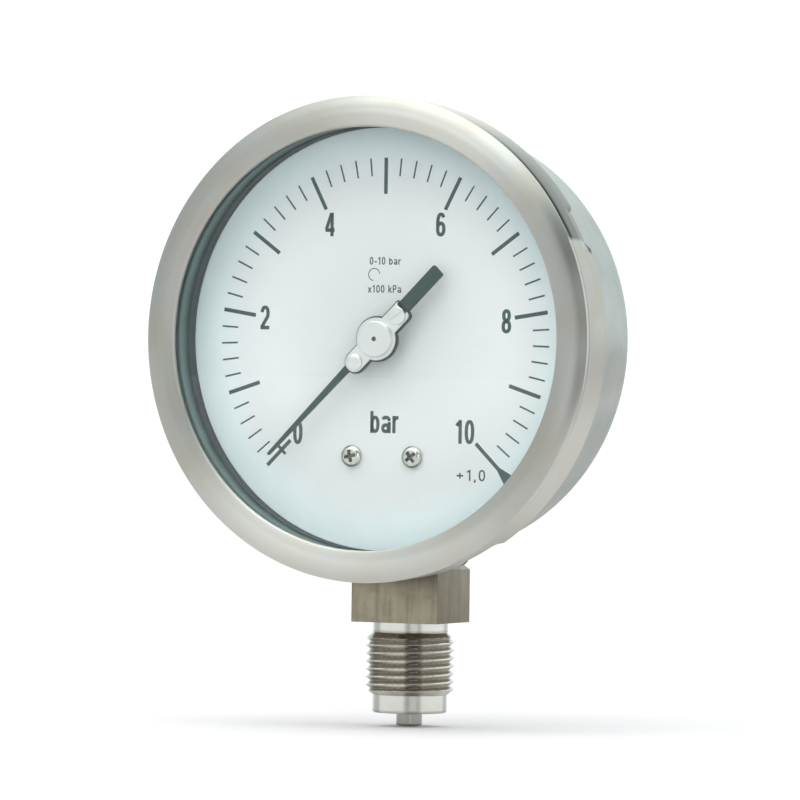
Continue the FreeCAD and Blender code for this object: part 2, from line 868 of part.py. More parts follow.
def make_dial():
    """Flat dial on two posts, held by two cross-recess screws."""
    body = new_body("dial")
    sides = ("-dial_screw_x", "dial_screw_x")

    def plate(sketch):
        draw_circle(sketch, "dial_radius")
        draw_circle(sketch, "dial_hole_radius")
        for x in sides:
            draw_circle(sketch, "dial_screw_hole", x, "-dial_screw_drop")

    pad(body, "plate", plate, "dial_back", "dial_front")
    posts, screws = [], []
    for number, x in enumerate(sides, 1):
        posts.append(
            stack(
                f"post_{number}",
                [("post_radius", "back_plate_back", "dial_back")],
                [("post_bore", "dial_back - post_bore_depth", "dial_back + 1")],
                x,
                "-dial_screw_drop",
            )
        )
        screws.append(
            pan_head(
                f"dial_screw_{number}",
                "dial_front",
                "dial_screw_head",
                "dial_screw_height",
                "dial_screw_shank",
                "dial_front - dial_screw_length",
                x,
                "-dial_screw_drop",
                "0.3",
                crossed=True,
            )
        )
    group("dial_posts", posts)
    group("dial_screws", screws)


# --- sub-parts: pointer ------------------------------------------------------------------


def hub_and_lobes(sketch, inset):
    """The outline shared by the blade and the plate: a disc with a rounded strap through it."""
    hub = f"(hub_radius - {inset})"
    half = f"(lobe_radius - {inset})"
    root = f"sqrt({hub} ^ 2 - {half} ^ 2)"
    draw_outline(
        sketch,
        [
            (f"-{root}", half, hub),
            (root, half),
            ("lobe_centre", half, half),
            (f"lobe_centre + {half}", "0", half),
            ("lobe_centre", f"-{half}"),
            (root, f"-{half}", hub),
            (f"-{root}", f"-{half}"),
            ("-lobe_centre", f"-{half}", half),
            (f"-lobe_centre - {half}", "0", half),
            ("-lobe_centre", half),
        ],
    )


def make_pointer():
    """Blade with a counterweight tail, clamped under a trim plate on the hub's bush."""
    turn = -value("pointer_bearing")
    blade = new_body("pointer_blade", turn=turn)
    span = ("blade_back", "blade_front")
    pad(blade, "hub", lambda s: hub_and_lobes(s, "0"), *span)
    tip = [
        ("root_start", "-root_half"),
        ("tip_length", "-tip_half"),
        ("tip_length", "tip_half"),
        ("root_start", "root_half"),
    ]
    pad(blade, "tip", lambda s: draw_outline(s, tip), *span)
    tail = [
        ("-tail_length", "-tail_half"),
        ("-lobe_centre", "-tail_half"),
        ("-lobe_centre", "tail_half"),
        ("-tail_length", "tail_half"),
    ]
    pad(blade, "tail", lambda s: draw_outline(s, tail), *span)
    doc.recompute()

    def holes(sketch):
        draw_circle(sketch, "bush_neck + bearing_fit")
        for x in ("-lobe_centre", "lobe_centre"):
            draw_circle(sketch, "trim_hole", x)

    pocket(blade, "holes", holes, "blade_front + 1", "blade_back - 1")

    plate = new_body("pointer_plate", turn=turn)
    pad(plate, "strap", lambda s: hub_and_lobes(s, "plate_margin"), "plate_back", "plate_front")
    doc.recompute()
    notch = [
        ("-lobe_centre - lobe_radius - 1", "-plate_notch_half"),
        ("-plate_notch_start", "-plate_notch_half"),
        ("-plate_notch_start", "plate_notch_half"),
        ("-lobe_centre - lobe_radius - 1", "plate_notch_half"),
    ]
    reach = ("plate_front + 1", "plate_back - 1")
    pocket(plate, "notch", lambda s: draw_outline(s, notch), *reach)

    def plate_holes(sketch):
        draw_circle(sketch, "bush_neck")
        draw_circle(sketch, "pin_radius + trim_fit", "-lobe_centre")
        draw_circle(sketch, "pin_radius", "lobe_centre")

    pocket(plate, "holes", plate_holes, *reach)


def make_pointer_hub():
    """The bush pressed on the arbor, with the boss in front, and the rivet through the plate."""
    bush = stack(
        "bush",
        [
            ("bush_radius", "bush_back", "bush_flange"),
            ("bush_neck", "bush_flange", "plate_front"),
            ("boss_radius", "plate_front", "boss_front"),
        ],
        [
            ("arbor_radius", "bush_back - 1", "arbor_tip"),
            ("boss_sight_hole", "arbor_tip", "boss_front + 1"),
        ],
    )
    keep("pointer_bush", bush)

    at = ("lobe_centre * cos(pointer_bearing)", "lobe_centre * sin(pointer_bearing)")
    reach = ("plate_front", "plate_front + rivet_height")
    head = bar("rivet_head", "rivet_radius", *reach, *at, front_radius="rivet_radius * 0.85")
    shank = bar("rivet_shank", "pin_radius", "blade_back - 0.2", "plate_front", *at)
    keep("pointer_rivet", join("rivet", [head, shank]))


def make_trim_screw():
    """Slotted screw that turns in the plate and shifts the blade a few degrees about the hub."""
    head = round_bar("trim_head", "plate_front + trim_fit", "plate_front + trim_height")
    shank = round_bar("pin_radius", "blade_back + 0.2", "plate_front + trim_height / 2")
    half, reach = value("trim_slot_half"), value("trim_head") + 1
    slot = prism(
        [(-reach, -half), (reach, -half), (reach, half), (-reach, half)],
        "plate_front + trim_height - trim_slot_depth",
        "plate_front + trim_height + 1",
    )
    bearing = math.radians(value("pointer_bearing"))
    centre = -value("lobe_centre")
    feature(
        "trim_screw",
        head.fuse(shank).cut(slot).removeSplitter(),
        centre * math.cos(bearing),
        centre * math.sin(bearing),
        -value("pointer_bearing") - 12,
    )


# --- sub-parts: movement -----------------------------------------------------------------


def make_movement_plates():
    """Two brass plates with bearing holes, kept apart by three pillars."""
    pivot_drop = "-gear_module * (pinion_teeth + sector_teeth) / 2"
    outline = [
        ("-plate_half_width", "plate_top"),
        ("-plate_half_width", "-pillar_low - 3"),
        ("-plate_waist", "-plate_low"),
        ("plate_waist", "-plate_low"),
        ("plate_waist", "-pillar_low + 4"),
        ("plate_half_width", "-pillar_low + 8"),
        ("plate_half_width", "plate_top"),
    ]

    def draw(sketch):
        draw_outline(sketch, outline)
        draw_circle(sketch, "arbor_radius + bearing_fit")
        draw_circle(sketch, "arbor_radius + bearing_fit", "0", pivot_drop)

    pad(new_body("movement_front_plate"), "sheet", draw, "front_plate_back", "front_plate_front")
    back = new_body("movement_back_plate")
    pad(back, "sheet", draw, "back_plate_back", "back_plate_front")
    doc.recompute()

    def screw_holes(sketch):
        for x in ("-movement_screw_x", "movement_screw_x"):
            draw_circle(sketch, "movement_screw_radius + holder_fit", x, "-movement_screw_drop")

    pocket(back, "screw_holes", screw_holes, "back_plate_front + 1", "back_plate_back - 1")

    places = [("-pillar_x", "pillar_up"), ("pillar_x", "pillar_up"), ("-pillar_low_x", "-pillar_low")]
    span = ("back_plate_front", "front_plate_back")
    pillars = [bar(f"pillar_{n}", "pillar_radius", *span, *at) for n, at in enumerate(places, 1)]
    group("movement_pillars", pillars)

    screws = []
    for number, (x, up) in enumerate(places, 1):
        name = f"plate_screw_{number}"
        head = bar(f"{name}_head", "plate_screw_head", "front_plate_front",
                   "front_plate_front + plate_screw_height", x, up)
        slot = box(
            f"{name}_slot",
            (f"({x}) - 3", "front_plate_front + plate_screw_height / 2", f"({up}) - plate_screw_slot"),
            (f"({x}) + 3", "front_plate_front + 2", f"({up}) + plate_screw_slot"),
        )
        screws.append(cut(name, head, [slot]))
    group("plate_screws", screws)

    group(
        "movement_screws",
        [
            pan_head(
                f"movement_screw_{number}",
                "back_plate_front",
                "movement_screw_head",
                "1.2",
                "movement_screw_radius",
                "-movement_screw_end",
                x,
                "-movement_screw_drop",
                "0.25",
                crossed=False,
            )
            for number, x in enumerate(("-movement_screw_x", "movement_screw_x"), 1)
        ],
    )


def make_pinion():
    """Pointer arbor with its pinion cut on it, and the hairspring's collet."""
    teeth = int(value("pinion_teeth"))
    points = [p for n in range(teeth) for p in tooth(teeth, 2 * math.pi * n / teeth)]
    wheel = prism(points, "pinion_back", "pinion_front")
    arbor = round_bar("arbor_radius", "arbor_back", "arbor_tip")
    feature("pinion_arbor", arbor.fuse(wheel).removeSplitter())
    keep(
        "hairspring_collet",
        stack(
            "collet",
            [("collet_radius", "collet_back", "collet_front")],
            [("arbor_radius", "collet_back - 1", "collet_front + 1")],
        ),
    )


def make_sector():
    """Toothed sector on its arbor, with a tail arm that carries the link's pin."""
    pivot, tail_pin, _ = linkage()
    swing = value("sector_swing / 2")
    teeth = int(value("sector_teeth"))
    cut_teeth = int(value("sector_teeth_cut"))
    pitch_radius = value("gear_module * sector_teeth / 2")
    step = 2 * math.pi / teeth
    rim = []
    for number in range(cut_teeth):
        rim += tooth(teeth, math.pi / 2 + step * (number - (cut_teeth - 1) / 2))
    hub = value("sector_hub")
    web = prism([*rim, (-hub * 0.7, hub * 0.5), (-hub * 0.7, 0), (hub * 0.7, 0), (hub * 0.7, hub * 0.5)],
                "sector_back", "sector_front")
    window_top = pitch_radius - value("sector_rim")
    spread = (cut_teeth - 5) * step / 2
    opening = prism(
        [
            (-0.45, hub + 1.2),
            (0.45, hub + 1.2),
            (window_top * math.sin(spread), window_top * math.cos(spread)),
            (0, window_top),
            (-window_top * math.sin(spread), window_top * math.cos(spread)),
        ],
        "sector_back - 1",
        "sector_front + 1",
    )
    boss = round_bar("sector_hub", "sector_back", "sector_hub_front")
    slope = math.radians(value("link_slope"))
    along = (math.sin(slope), -math.cos(slope))
    across = (math.cos(slope), math.sin(slope))
    half, reach = value("tail_arm_half"), value("tail_arm")
    arm = prism(
        [
            (along[0] * far + across[0] * out, along[1] * far + across[1] * out)
            for far, out in ((0, -half), (reach, -half), (reach, half), (0, half))
        ],
        "sector_back",
        "sector_front",
    )
    end = (along[0] * reach, along[1] * reach)
    knuckle = round_bar("tail_arm_half", "sector_back", "sector_front", *end)
    bores = round_bar("arbor_radius", "sector_back - 1", "sector_hub_front + 1").fuse(
        round_bar("tail_pin_radius", "sector_back - 1", "sector_front + 1", *end)
    )
    shape = web.cut(opening).fuse([boss, arm, knuckle]).cut(bores).removeSplitter()
    feature("sector_gear", shape, *pivot, swing)
    feature("sector_arbor", round_bar("arbor_radius", "arbor_back", "sector_arbor_front"), *pivot)
    feature("sector_tail_pin", round_bar("tail_pin_radius", "link_back - 0.3", "sector_front"), *tail_pin)


def make_link():
    """Flat strip from the tube's tip to the sector's tail, with an easy hole at the tail end."""
    _, tail_pin, tip_pin = linkage()
    run = (tail_pin[0] - tip_pin[0], tail_pin[1] - tip_pin[1])
    length, half = math.hypot(*run), value("link_half")
    span = ("link_back", "link_front")
    through = ("link_back - 1", "link_front + 1")
    strip = prism([(0, -half), (length, -half), (length, half), (0, half)], *span)
    ends = [round_bar("link_half", *span, x) for x in (0, length)]
    near = round_bar("tip_pin_radius + bearing_fit", *through)
    far = round_bar("link_eye", *through, length)
    shape = strip.fuse(ends).cut(near).cut(far)
    feature("link", shape.removeSplitter(), *tip_pin, -math.degrees(math.atan2(run[1], run[0])))


def make_hairspring():
    """Spiral spring behind the front plate, and the stud that pins its outer end."""
    turn = -30.0
    feature("hairspring", spiral_strip(), turn=turn)
    outer = value("spring_inner + spring_pitch * spring_turns")
    half = value("stud_half")
    near = outer + value("spring_strip / 2")
    stud = prism(
        [(near, -half), (near + 2 * half, -half), (near + 2 * half, half), (near, half)],
        "spring_back",
        "front_plate_back",
    )
    feature("hairspring_stud", stud, turn=turn - 360 * value("spring_turns"))


# --- sub-parts: pressure element ---------------------------------------------------------


def tube_box(margin):
    """A rectangle around the tube's section as (station, radius) corners."""
    back, front = (f"tube_station {sign} (tube_half_width + {margin})" for sign in "-+")
    low, high = (f"tube_mean_radius {sign} (tube_half_thickness + {margin})" for sign in "-+")
    return [(back, low), (back, high), (front, high), (front, low)]


def flat_oval(inset):
    """The tube's section as (station, radius) corners, with round ends."""
    end = f"(tube_half_thickness - {inset})"
    reach = f"(tube_half_width - {inset})"
    low, high = f"tube_mean_radius - {end}", f"tube_mean_radius + {end}"
    back, front = f"tube_station - {reach}", f"tube_station + {reach}"
    return [
        (f"{front} - {end}", high),
        (f"{back} + {end}", high, end),
        (back, "tube_mean_radius", end),
        (f"{back} + {end}", low),
        (f"{front} - {end}", low, end),
        (front, "tube_mean_radius", end),
    ]


def make_bourdon_tube():
    """Flat-oval tube bent to a C, from the holder clockwise over the top to its closed end."""
    sweep = value("tube_start - tube_end")
    middle = value("(tube_start + tube_end) / 2")
    body = new_body("bourdon_tube", turn=90 - middle)
    sketch = new_sketch(body, "section_sketch", "YZ_Plane")
    draw_outline(sketch, along_dial_axis(flat_oval("0")))
    draw_outline(sketch, along_dial_axis(flat_oval("tube_wall")))
    tube = body.newObject("PartDesign::Revolution", "bourdon_tube_sweep")
    tube.Profile = sketch
    tube.ReferenceAxis = (sketch, ["H_Axis"])
    tube.Angle = sweep
    tube.Midplane = True


def make_tube_tip():
    """Plug closing the tube, with an arm inward to the pin that pulls the link."""
    _, _, tip_pin = linkage()
    angle = value("end_block_angle")
    gap = math.degrees(value("end_block_gap") / value("tube_mean_radius"))
    plug = doc.addObject("PartDesign::Body", "tip_plug_body")
    plug.Placement = FreeCAD.Placement(
        FreeCAD.Vector(), FreeCAD.Rotation(Y_AXIS, 90 - value("tube_end") + gap + angle / 2)
    )
    bind(plug, Placement_Base_z=CENTRE)
    revolve(plug, "plug", tube_box("end_block_margin"), angle=angle)
    doc.recompute()
    root_angle = math.radians(value("tube_end - end_block_angle / 2"))
    root_radius = value("tube_mean_radius - tube_half_thickness")
    root = (root_radius * math.cos(root_angle), root_radius * math.sin(root_angle))
    run = (root[0] - tip_pin[0], root[1] - tip_pin[1])
    length, half = math.hypot(*run), value("arm_half")
    arm = doc.addObject("Part::Feature", "tip_arm")
    strip = prism([(0, -half), (length, -half), (length, half), (0, half)], "arm_back", "arm_front")
    eye = round_bar("arm_half", "arm_back", "arm_front")
    bore = round_bar("tip_pin_radius", "arm_back - 1", "arm_front + 1")
    arm.Shape = strip.fuse(eye).cut(bore)
    arm.Placement = FreeCAD.Placement(
        FreeCAD.Vector(tip_pin[0], 0, value(CENTRE) + tip_pin[1]),
        FreeCAD.Rotation(Y_AXIS, -math.degrees(math.atan2(run[1], run[0]))),
    )
    keep("tube_tip", join("tip_piece", [plug, arm]))
    feature("tip_pin", round_bar("tip_pin_radius", "arm_back", "tip_pin_front"), *tip_pin)


# --- sub-parts: back of the case ---------------------------------------------------------


def make_back_hardware():
    """Two screws that hold the measuring system to the case, and the rubber blow-out plug."""
    screws = []
    for number, x in enumerate(("-case_screw_x", "case_screw_x"), 1):
        name = f"case_screw_{number}"
        head = bar(f"{name}_head", "case_screw_head", "-case_back - case_screw_height", "-case_back", x,
                   "-case_screw_drop")
        shank = bar(f"{name}_shank", "case_screw_shank", "-case_back", "-case_screw_end", x,
                    "-case_screw_drop")
        slot = box(
            f"{name}_slot",
            (f"({x}) - 5", "-case_back - case_screw_height - 1", "-case_screw_drop - 0.4"),
            (f"({x}) + 5", "-case_back - case_screw_height * 0.4", "-case_screw_drop + 0.4"),
        )
        screws.append(cut(f"{name}_solid", join(f"{name}_blank", [head, shank]), [slot]))
    group("case_screws", screws)

    keep(
        "blowout_plug",
        stack(
            "plug",
            [
                ("plug_head", "-case_back - plug_height", "-case_back"),
                ("plug_hole - 0.05", "-case_back", "case_wall - case_back"),
                ("plug_lip", "case_wall - case_back", "case_wall - case_back + 0.8"),
            ],
            up="plug_up",
        ),
    )


# --- the assembly ------------------------------------------------------------------------


def check(document):
    """Stop on any failed feature and on any sub-part that isn't a valid solid."""
    for thing in document.Objects:
        if {"Invalid", "Error"} & set(thing.State):
            raise RuntimeError(f"{thing.Name} ({thing.Label}) is {thing.State}")
    for part in subparts:
        if part.Shape.isNull() or not part.Shape.isValid() or not part.Shape.Solids:
            raise RuntimeError(f"{part.Label} has no valid solid")


def write():
    """Export each sub-part to its own STEP file."""
    os.makedirs("parts", exist_ok=True)
    for part in subparts:
        part.Shape.exportStep(f"parts/{part.Label}.step")
        print(f"{part.Label:22s} solids {len(part.Shape.Solids)}  volume {part.Shape.Volume:9.1f}")


make_socket()
make_socket_seal()
make_tube_holder()
make_case()
make_bayonet_ring()
make_window()
make_dial()
make_pointer()
make_pointer_hub()
make_trim_screw()
make_movement_plates()
make_pinion()
make_sector()
make_link()
make_hairspring()
make_bourdon_tube()
make_tube_tip()
make_back_hardware()
doc.recompute()
check(doc)
write()
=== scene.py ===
"""The looks of a nominal size 100 pressure gauge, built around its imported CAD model.

Lengths in the code are millimetres until put() turns them into metres. The dial's axis runs
parallel to Y at HEAD above the origin. Along it, a station is a distance in front of the stem's
axis, so stations grow towards the reader.
"""

import math

import bmesh
import bpy
from mathutils import Matrix, Vector


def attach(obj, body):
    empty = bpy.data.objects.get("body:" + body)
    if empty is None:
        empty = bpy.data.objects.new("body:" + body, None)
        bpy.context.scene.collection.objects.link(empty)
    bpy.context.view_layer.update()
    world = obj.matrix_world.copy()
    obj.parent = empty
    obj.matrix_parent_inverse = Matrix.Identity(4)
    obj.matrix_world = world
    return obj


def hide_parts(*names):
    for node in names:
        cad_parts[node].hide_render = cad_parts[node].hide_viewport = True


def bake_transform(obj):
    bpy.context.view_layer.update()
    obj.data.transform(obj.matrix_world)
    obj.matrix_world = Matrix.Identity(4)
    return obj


MM = 0.001
HEAD = 86.5
TAU = 2 * math.pi
POINTER_BEARING = 225.0
LOBE = 7.6  # from the pointer's axis to the rivet, and to the trim screw
BLADE_OFFSET = -0.45
DIAL_SCREWS = (7.7, -27.0)  # x to either side, and height from the dial's axis
CASE_SCREWS = (7.5, -40.5)
PLUG_HEIGHT = 26.0
BLOCK_SIZE = (22.0, 17.8, 13.5)
BLOCK_MIDDLE = 27.75
BLOCK_SIDES = (0.01082, 0.01096)  # metres from the middle, where the side faces' painted shade sets in
DENTS = (28.0, 118.0, 208.0, 298.0)
CREASED = (28.0, 118.0)

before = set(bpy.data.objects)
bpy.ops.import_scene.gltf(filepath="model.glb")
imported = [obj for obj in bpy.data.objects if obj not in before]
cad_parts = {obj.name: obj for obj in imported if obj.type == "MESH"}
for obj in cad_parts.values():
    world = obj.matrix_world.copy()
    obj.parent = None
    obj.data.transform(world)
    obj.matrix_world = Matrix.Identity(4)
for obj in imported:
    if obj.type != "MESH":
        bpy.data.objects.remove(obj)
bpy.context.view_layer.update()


# --- outlines ---


def arc(centre, radius, first, last, steps):
    """Points on an arc, angles in degrees, ends included."""
    angles = [math.radians(first + (last - first) * n / steps) for n in range(steps + 1)]
    return [(centre[0] + radius * math.cos(a), centre[1] + radius * math.sin(a)) for a in angles]


def soften(corners, steps=5):
    """Round each (a, b, radius) corner of a closed outline, and hold the flats next to it."""
    points = []
    count = len(corners)
    for n, corner in enumerate(corners):
        here = Vector(corner[:2])
        if len(corner) < 3 or corner[2] <= 0:
            points.append(tuple(here))
            continue
        before = (Vector(corners[n - 1][:2]) - here).normalized()
        after = (Vector(corners[(n + 1) % count][:2]) - here).normalized()
        half = before.angle(after) / 2
        reach = corner[2] / math.tan(half)
        centre = here + (before + after).normalized() * corner[2] / math.sin(half)
        start, finish = here + before * reach, here + after * reach
        a0 = math.atan2(start.y - centre.y, start.x - centre.x)
        turn = math.atan2(finish.y - centre.y, finish.x - centre.x) - a0
        turn = (turn + math.pi) % TAU - math.pi
        points.append(tuple(start + before * corner[2] * 0.12))
        for k in range(steps + 1):
            a = a0 + turn * k / steps
            points.append((centre.x + corner[2] * math.cos(a), centre.y + corner[2] * math.sin(a)))
        points.append(tuple(finish + after * corner[2] * 0.12))
    return points


def threaded(points, steps):
    """A smooth curve through points, ends included."""
    curve = []
    last = len(points) - 1
    for n in range(last):
        p0, p1 = Vector(points[max(0, n - 1)]), Vector(points[n])
        p2, p3 = Vector(points[n + 1]), Vector(points[min(last, n + 2)])
        for k in range(steps):
            t = k / steps
            a = 2 * p1 + (p2 - p0) * t
            b = (2 * p0 - 5 * p1 + 4 * p2 - p3) * t * t
            c = (3 * p1 - p0 - 3 * p2 + p3) * t**3
            curve.append(tuple((a + b + c) / 2))
    return curve + [points[last]]


def inset(outline, distance):
    """An outline moved inwards, for loops that run anticlockwise."""
    moved = []
    count = len(outline)
    for n, point in enumerate(outline):
        here = Vector(point)
        before = (here - Vector(outline[n - 1])).normalized()
        after = (Vector(outline[(n + 1) % count]) - here).normalized()
        normal = Vector((-(before.y + after.y), before.x + after.x))
        scale = distance / max(0.3, normal.length / 2)
        moved.append(tuple(here + normal.normalized() * scale))
    return moved


# --- meshes ---


def dial_point(station, radius, angle):
    """A point about the dial's axis."""
    return (radius * math.cos(angle), -station, HEAD + radius * math.sin(angle))


def stem_point(height, radius, angle):
    """A point about the stem's axis."""
    return (radius * math.cos(angle), radius * math.sin(angle), height)


def in_scene(name, data):
    """A new object, linked into the scene."""
    made = bpy.data.objects.new(name, data)
    bpy.context.scene.collection.objects.link(made)
    return made


def put(name, vertices, faces, material, body, replaces=(), slot=None, sharp=32.0, **marks):
    """A shaded mesh piece that rides on a body, from vertices in millimetres.

    Each mark is a function of x, y and z, kept as a mesh attribute for the material to read.
    """
    mesh = bpy.data.meshes.new(name)
    mesh.from_pydata([Vector(v) * MM for v in vertices], [], faces)
    for mark, amount in marks.items():
        layer = mesh.attributes.new(mark, "FLOAT", "POINT")
        layer.data.foreach_set("value", [amount(*v) for v in vertices])
    turned = bmesh.new()
    turned.from_mesh(mesh)
    bmesh.ops.recalc_face_normals(turned, faces=turned.faces)
    turned.to_mesh(mesh)
    turned.free()
    mesh.shade_smooth()
    mesh.set_sharp_from_angle(angle=math.radians(sharp))
    mesh.materials.append(material)
    piece = in_scene(name, mesh)
    if body:
        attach(piece, body)
    if replaces:
        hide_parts(*replaces)
    return piece


def spun(profile, segments=256, point=dial_point, warp=None):
    """Vertices and faces of a closed profile of (along, radius) points turned about an axis."""
    vertices, faces = [], []
    count = len(profile)
    for k in range(segments):
        angle = TAU * k / segments
        for along, radius in profile:
            if warp:
                along, radius = warp(along, radius, angle)
            vertices.append(point(along, radius, angle))
    for k in range(segments):
        a, b = k * count, (k + 1) % segments * count
        for n in range(count):
            m = (n + 1) % count
            faces.append((a + n, a + m, b + m, b + n))
    return vertices, faces


def slab(outline, back, front, edge=0.06, place=lambda x, z: (x, z)):
    """A plate over an anticlockwise outline, with a small bevel round its front and back."""
    small = inset(outline, edge)
    layers = [(small, back), (outline, back + edge), (outline, front - edge), (small, front)]
    vertices, faces = [], []
    count = len(outline)
    for loop, station in layers:
        for x, z in loop:
            px, pz = place(x, z)
            vertices.append((px, -station, HEAD + pz))
    for layer in range(3):
        a, b = layer * count, (layer + 1) * count
        for n in range(count):
            m = (n + 1) % count
            faces.append((a + n, a + m, b + m, b + n))
    faces.append(list(range(count))[::-1])
    faces.append(list(range(3 * count, 4 * count)))
    return vertices, faces


def moved(vertices, x, z):
    """Vertices shifted across the dial."""
    return [(vx + x, vy, vz + z) for vx, vy, vz in vertices]


def joined(*parts):
    """Several (vertices, faces) pairs as one."""
    vertices, faces = [], []
    for some, others in parts:
        base = len(vertices)
        vertices += some
        faces += [[base + i for i in face] for face in others]
    return vertices, faces


def cut_by(piece, vertices, faces):
    """Subtract a closed mesh from a piece, for good."""
    mesh = bpy.data.meshes.new("cutter")
    mesh.from_pydata([Vector(v) * MM for v in vertices], [], faces)
    tool = in_scene("cutter", mesh)
    change = piece.modifiers.new("cut", "BOOLEAN")
    change.operation = "DIFFERENCE"
    change.solver = "EXACT"
    change.object = tool
    bpy.context.view_layer.update()
    done = bpy.data.meshes.new_from_object(
        piece.evaluated_get(bpy.context.evaluated_depsgraph_get())
    )
    piece.modifiers.clear()
    piece.data = done
    done.shade_smooth()
    done.set_sharp_from_angle(angle=math.radians(32))
    bpy.data.objects.remove(tool)


# --- materials ---


def add_node(tree, kind, **settings):
    """A new shader node with its settings."""
    made = tree.nodes.new(f"ShaderNode{kind}")
    for key, value in settings.items():
        setattr(made, key, value)
    return made


class Paint:
    """A node material with a few shorthands for building it."""

    def __init__(self, name, **sockets):
        """Start from a Principled shader, with the values given for its sockets."""
        self.material = bpy.data.materials.new(name)
        self.material.use_nodes = True
        self.tree = self.material.node_tree
        self.shader = self.tree.nodes["Principled BSDF"]
        for socket, value in sockets.items():
            self.shader.inputs[socket.replace("_", " ")].default_value = value

    def node(self, kind, **settings):
        """A new node in this material."""
        return add_node(self.tree, kind, **settings)

    def feed(self, socket, value):
        """Link a socket to another, or set it to a constant."""
        if isinstance(value, bpy.types.NodeSocket):
            self.tree.links.new(value, socket)
        elif value is not None:
            socket.default_value = value

    def give(self, name, value):
        """Feed an input of the shader."""
        self.feed(self.shader.inputs[name], value)

    def math(self, operation, a, b=None):
        """One step of arithmetic."""
        node = self.node("Math", operation=operation)
        for socket, value in zip(node.inputs, (a, b)):
            self.feed(socket, value)
        return node.outputs[0]

    def position(self):
        """Place on the piece, in metres."""
        return self.node("TexCoord").outputs["Object"]

    def split(self, vector):
        """The x, y and z of a vector."""
        node = self.node("SeparateXYZ")
        self.feed(node.inputs[0], vector)
        return node.outputs

    def vector(self, x, y, z):
        """A vector from x, y and z."""
        node = self.node("CombineXYZ")
        for socket, value in zip(node.inputs, (x, y, z)):
            self.feed(socket, value)
        return node.outputs[0]

    def scaled(self, vector, scale):
        """A vector stretched along each axis."""
        node = self.node("VectorMath", operation="MULTIPLY")
        self.feed(node.inputs[0], vector)
        node.inputs[1].default_value = scale
        return node.outputs[0]

    def noise(self, vector, scale, detail=3.0, roughness=0.55, w=None):
        """Noise from 0 to 1, with a fourth coordinate if w is given."""
        node = self.node("TexNoise", noise_dimensions="4D" if w is not None else "3D")
        self.feed(node.inputs["Vector"], vector)
        if w is not None:
            self.feed(node.inputs["W"], w)
        node.inputs["Scale"].default_value = scale
        node.inputs["Detail"].default_value = detail
        node.inputs["Roughness"].default_value = roughness
        return node.outputs["Fac"]

    def between(self, value, low, high, to_low=0.0, to_high=1.0, smooth=False):
        """A value carried from one range to another, and held at its ends."""
        node = self.node("MapRange", interpolation_type="SMOOTHSTEP" if smooth else "LINEAR")
        for socket, number in zip(node.inputs[:5], (value, low, high, to_low, to_high)):
            self.feed(socket, number)
        return node.outputs[0]

    def mix(self, amount, first, second, blend="MIX"):
        """Two colours mixed."""
        node = self.node("Mix", data_type="RGBA", blend_type=blend)
        for number, value in ((0, amount), (6, first), (7, second)):
            self.feed(node.inputs[number], value)
        return node.outputs[2]

    def bump(self, height, strength, distance):
        """Raise the surface by a height."""
        node = self.node("Bump")
        node.inputs["Strength"].default_value = strength
        node.inputs["Distance"].default_value = distance
        self.feed(node.inputs["Height"], height)
        self.give("Normal", node.outputs[0])

    def about_dial(self):
        """Unit direction from the dial's axis, distance from it, and station, all from position."""
        x, y, z = self.split(self.position())
        up = self.math("SUBTRACT", z, HEAD * MM)
        return self.polar(x, up, y)

    def about_stem(self):
        """The same about the stem's axis, with height for station."""
        x, y, z = self.split(self.position())
        return self.polar(x, y, z)

    def polar(self, a, b, along):
        """Unit direction, distance and along, for an axis square to a and b."""
        squares = self.math("ADD", self.math("MULTIPLY", a, a), self.math("MULTIPLY", b, b))
        radius = self.math("SQRT", self.math("ADD", squares, 1e-9))
        return self.math("DIVIDE", a, radius), self.math("DIVIDE", b, radius), radius, along


def colour(r, g, b):
    """An opaque colour."""
    return (r, g, b, 1.0)


def dimmed(base, share):
    """A base colour with a share of its brightness taken away."""
    return colour(*(v * (1 - share) for v in base))


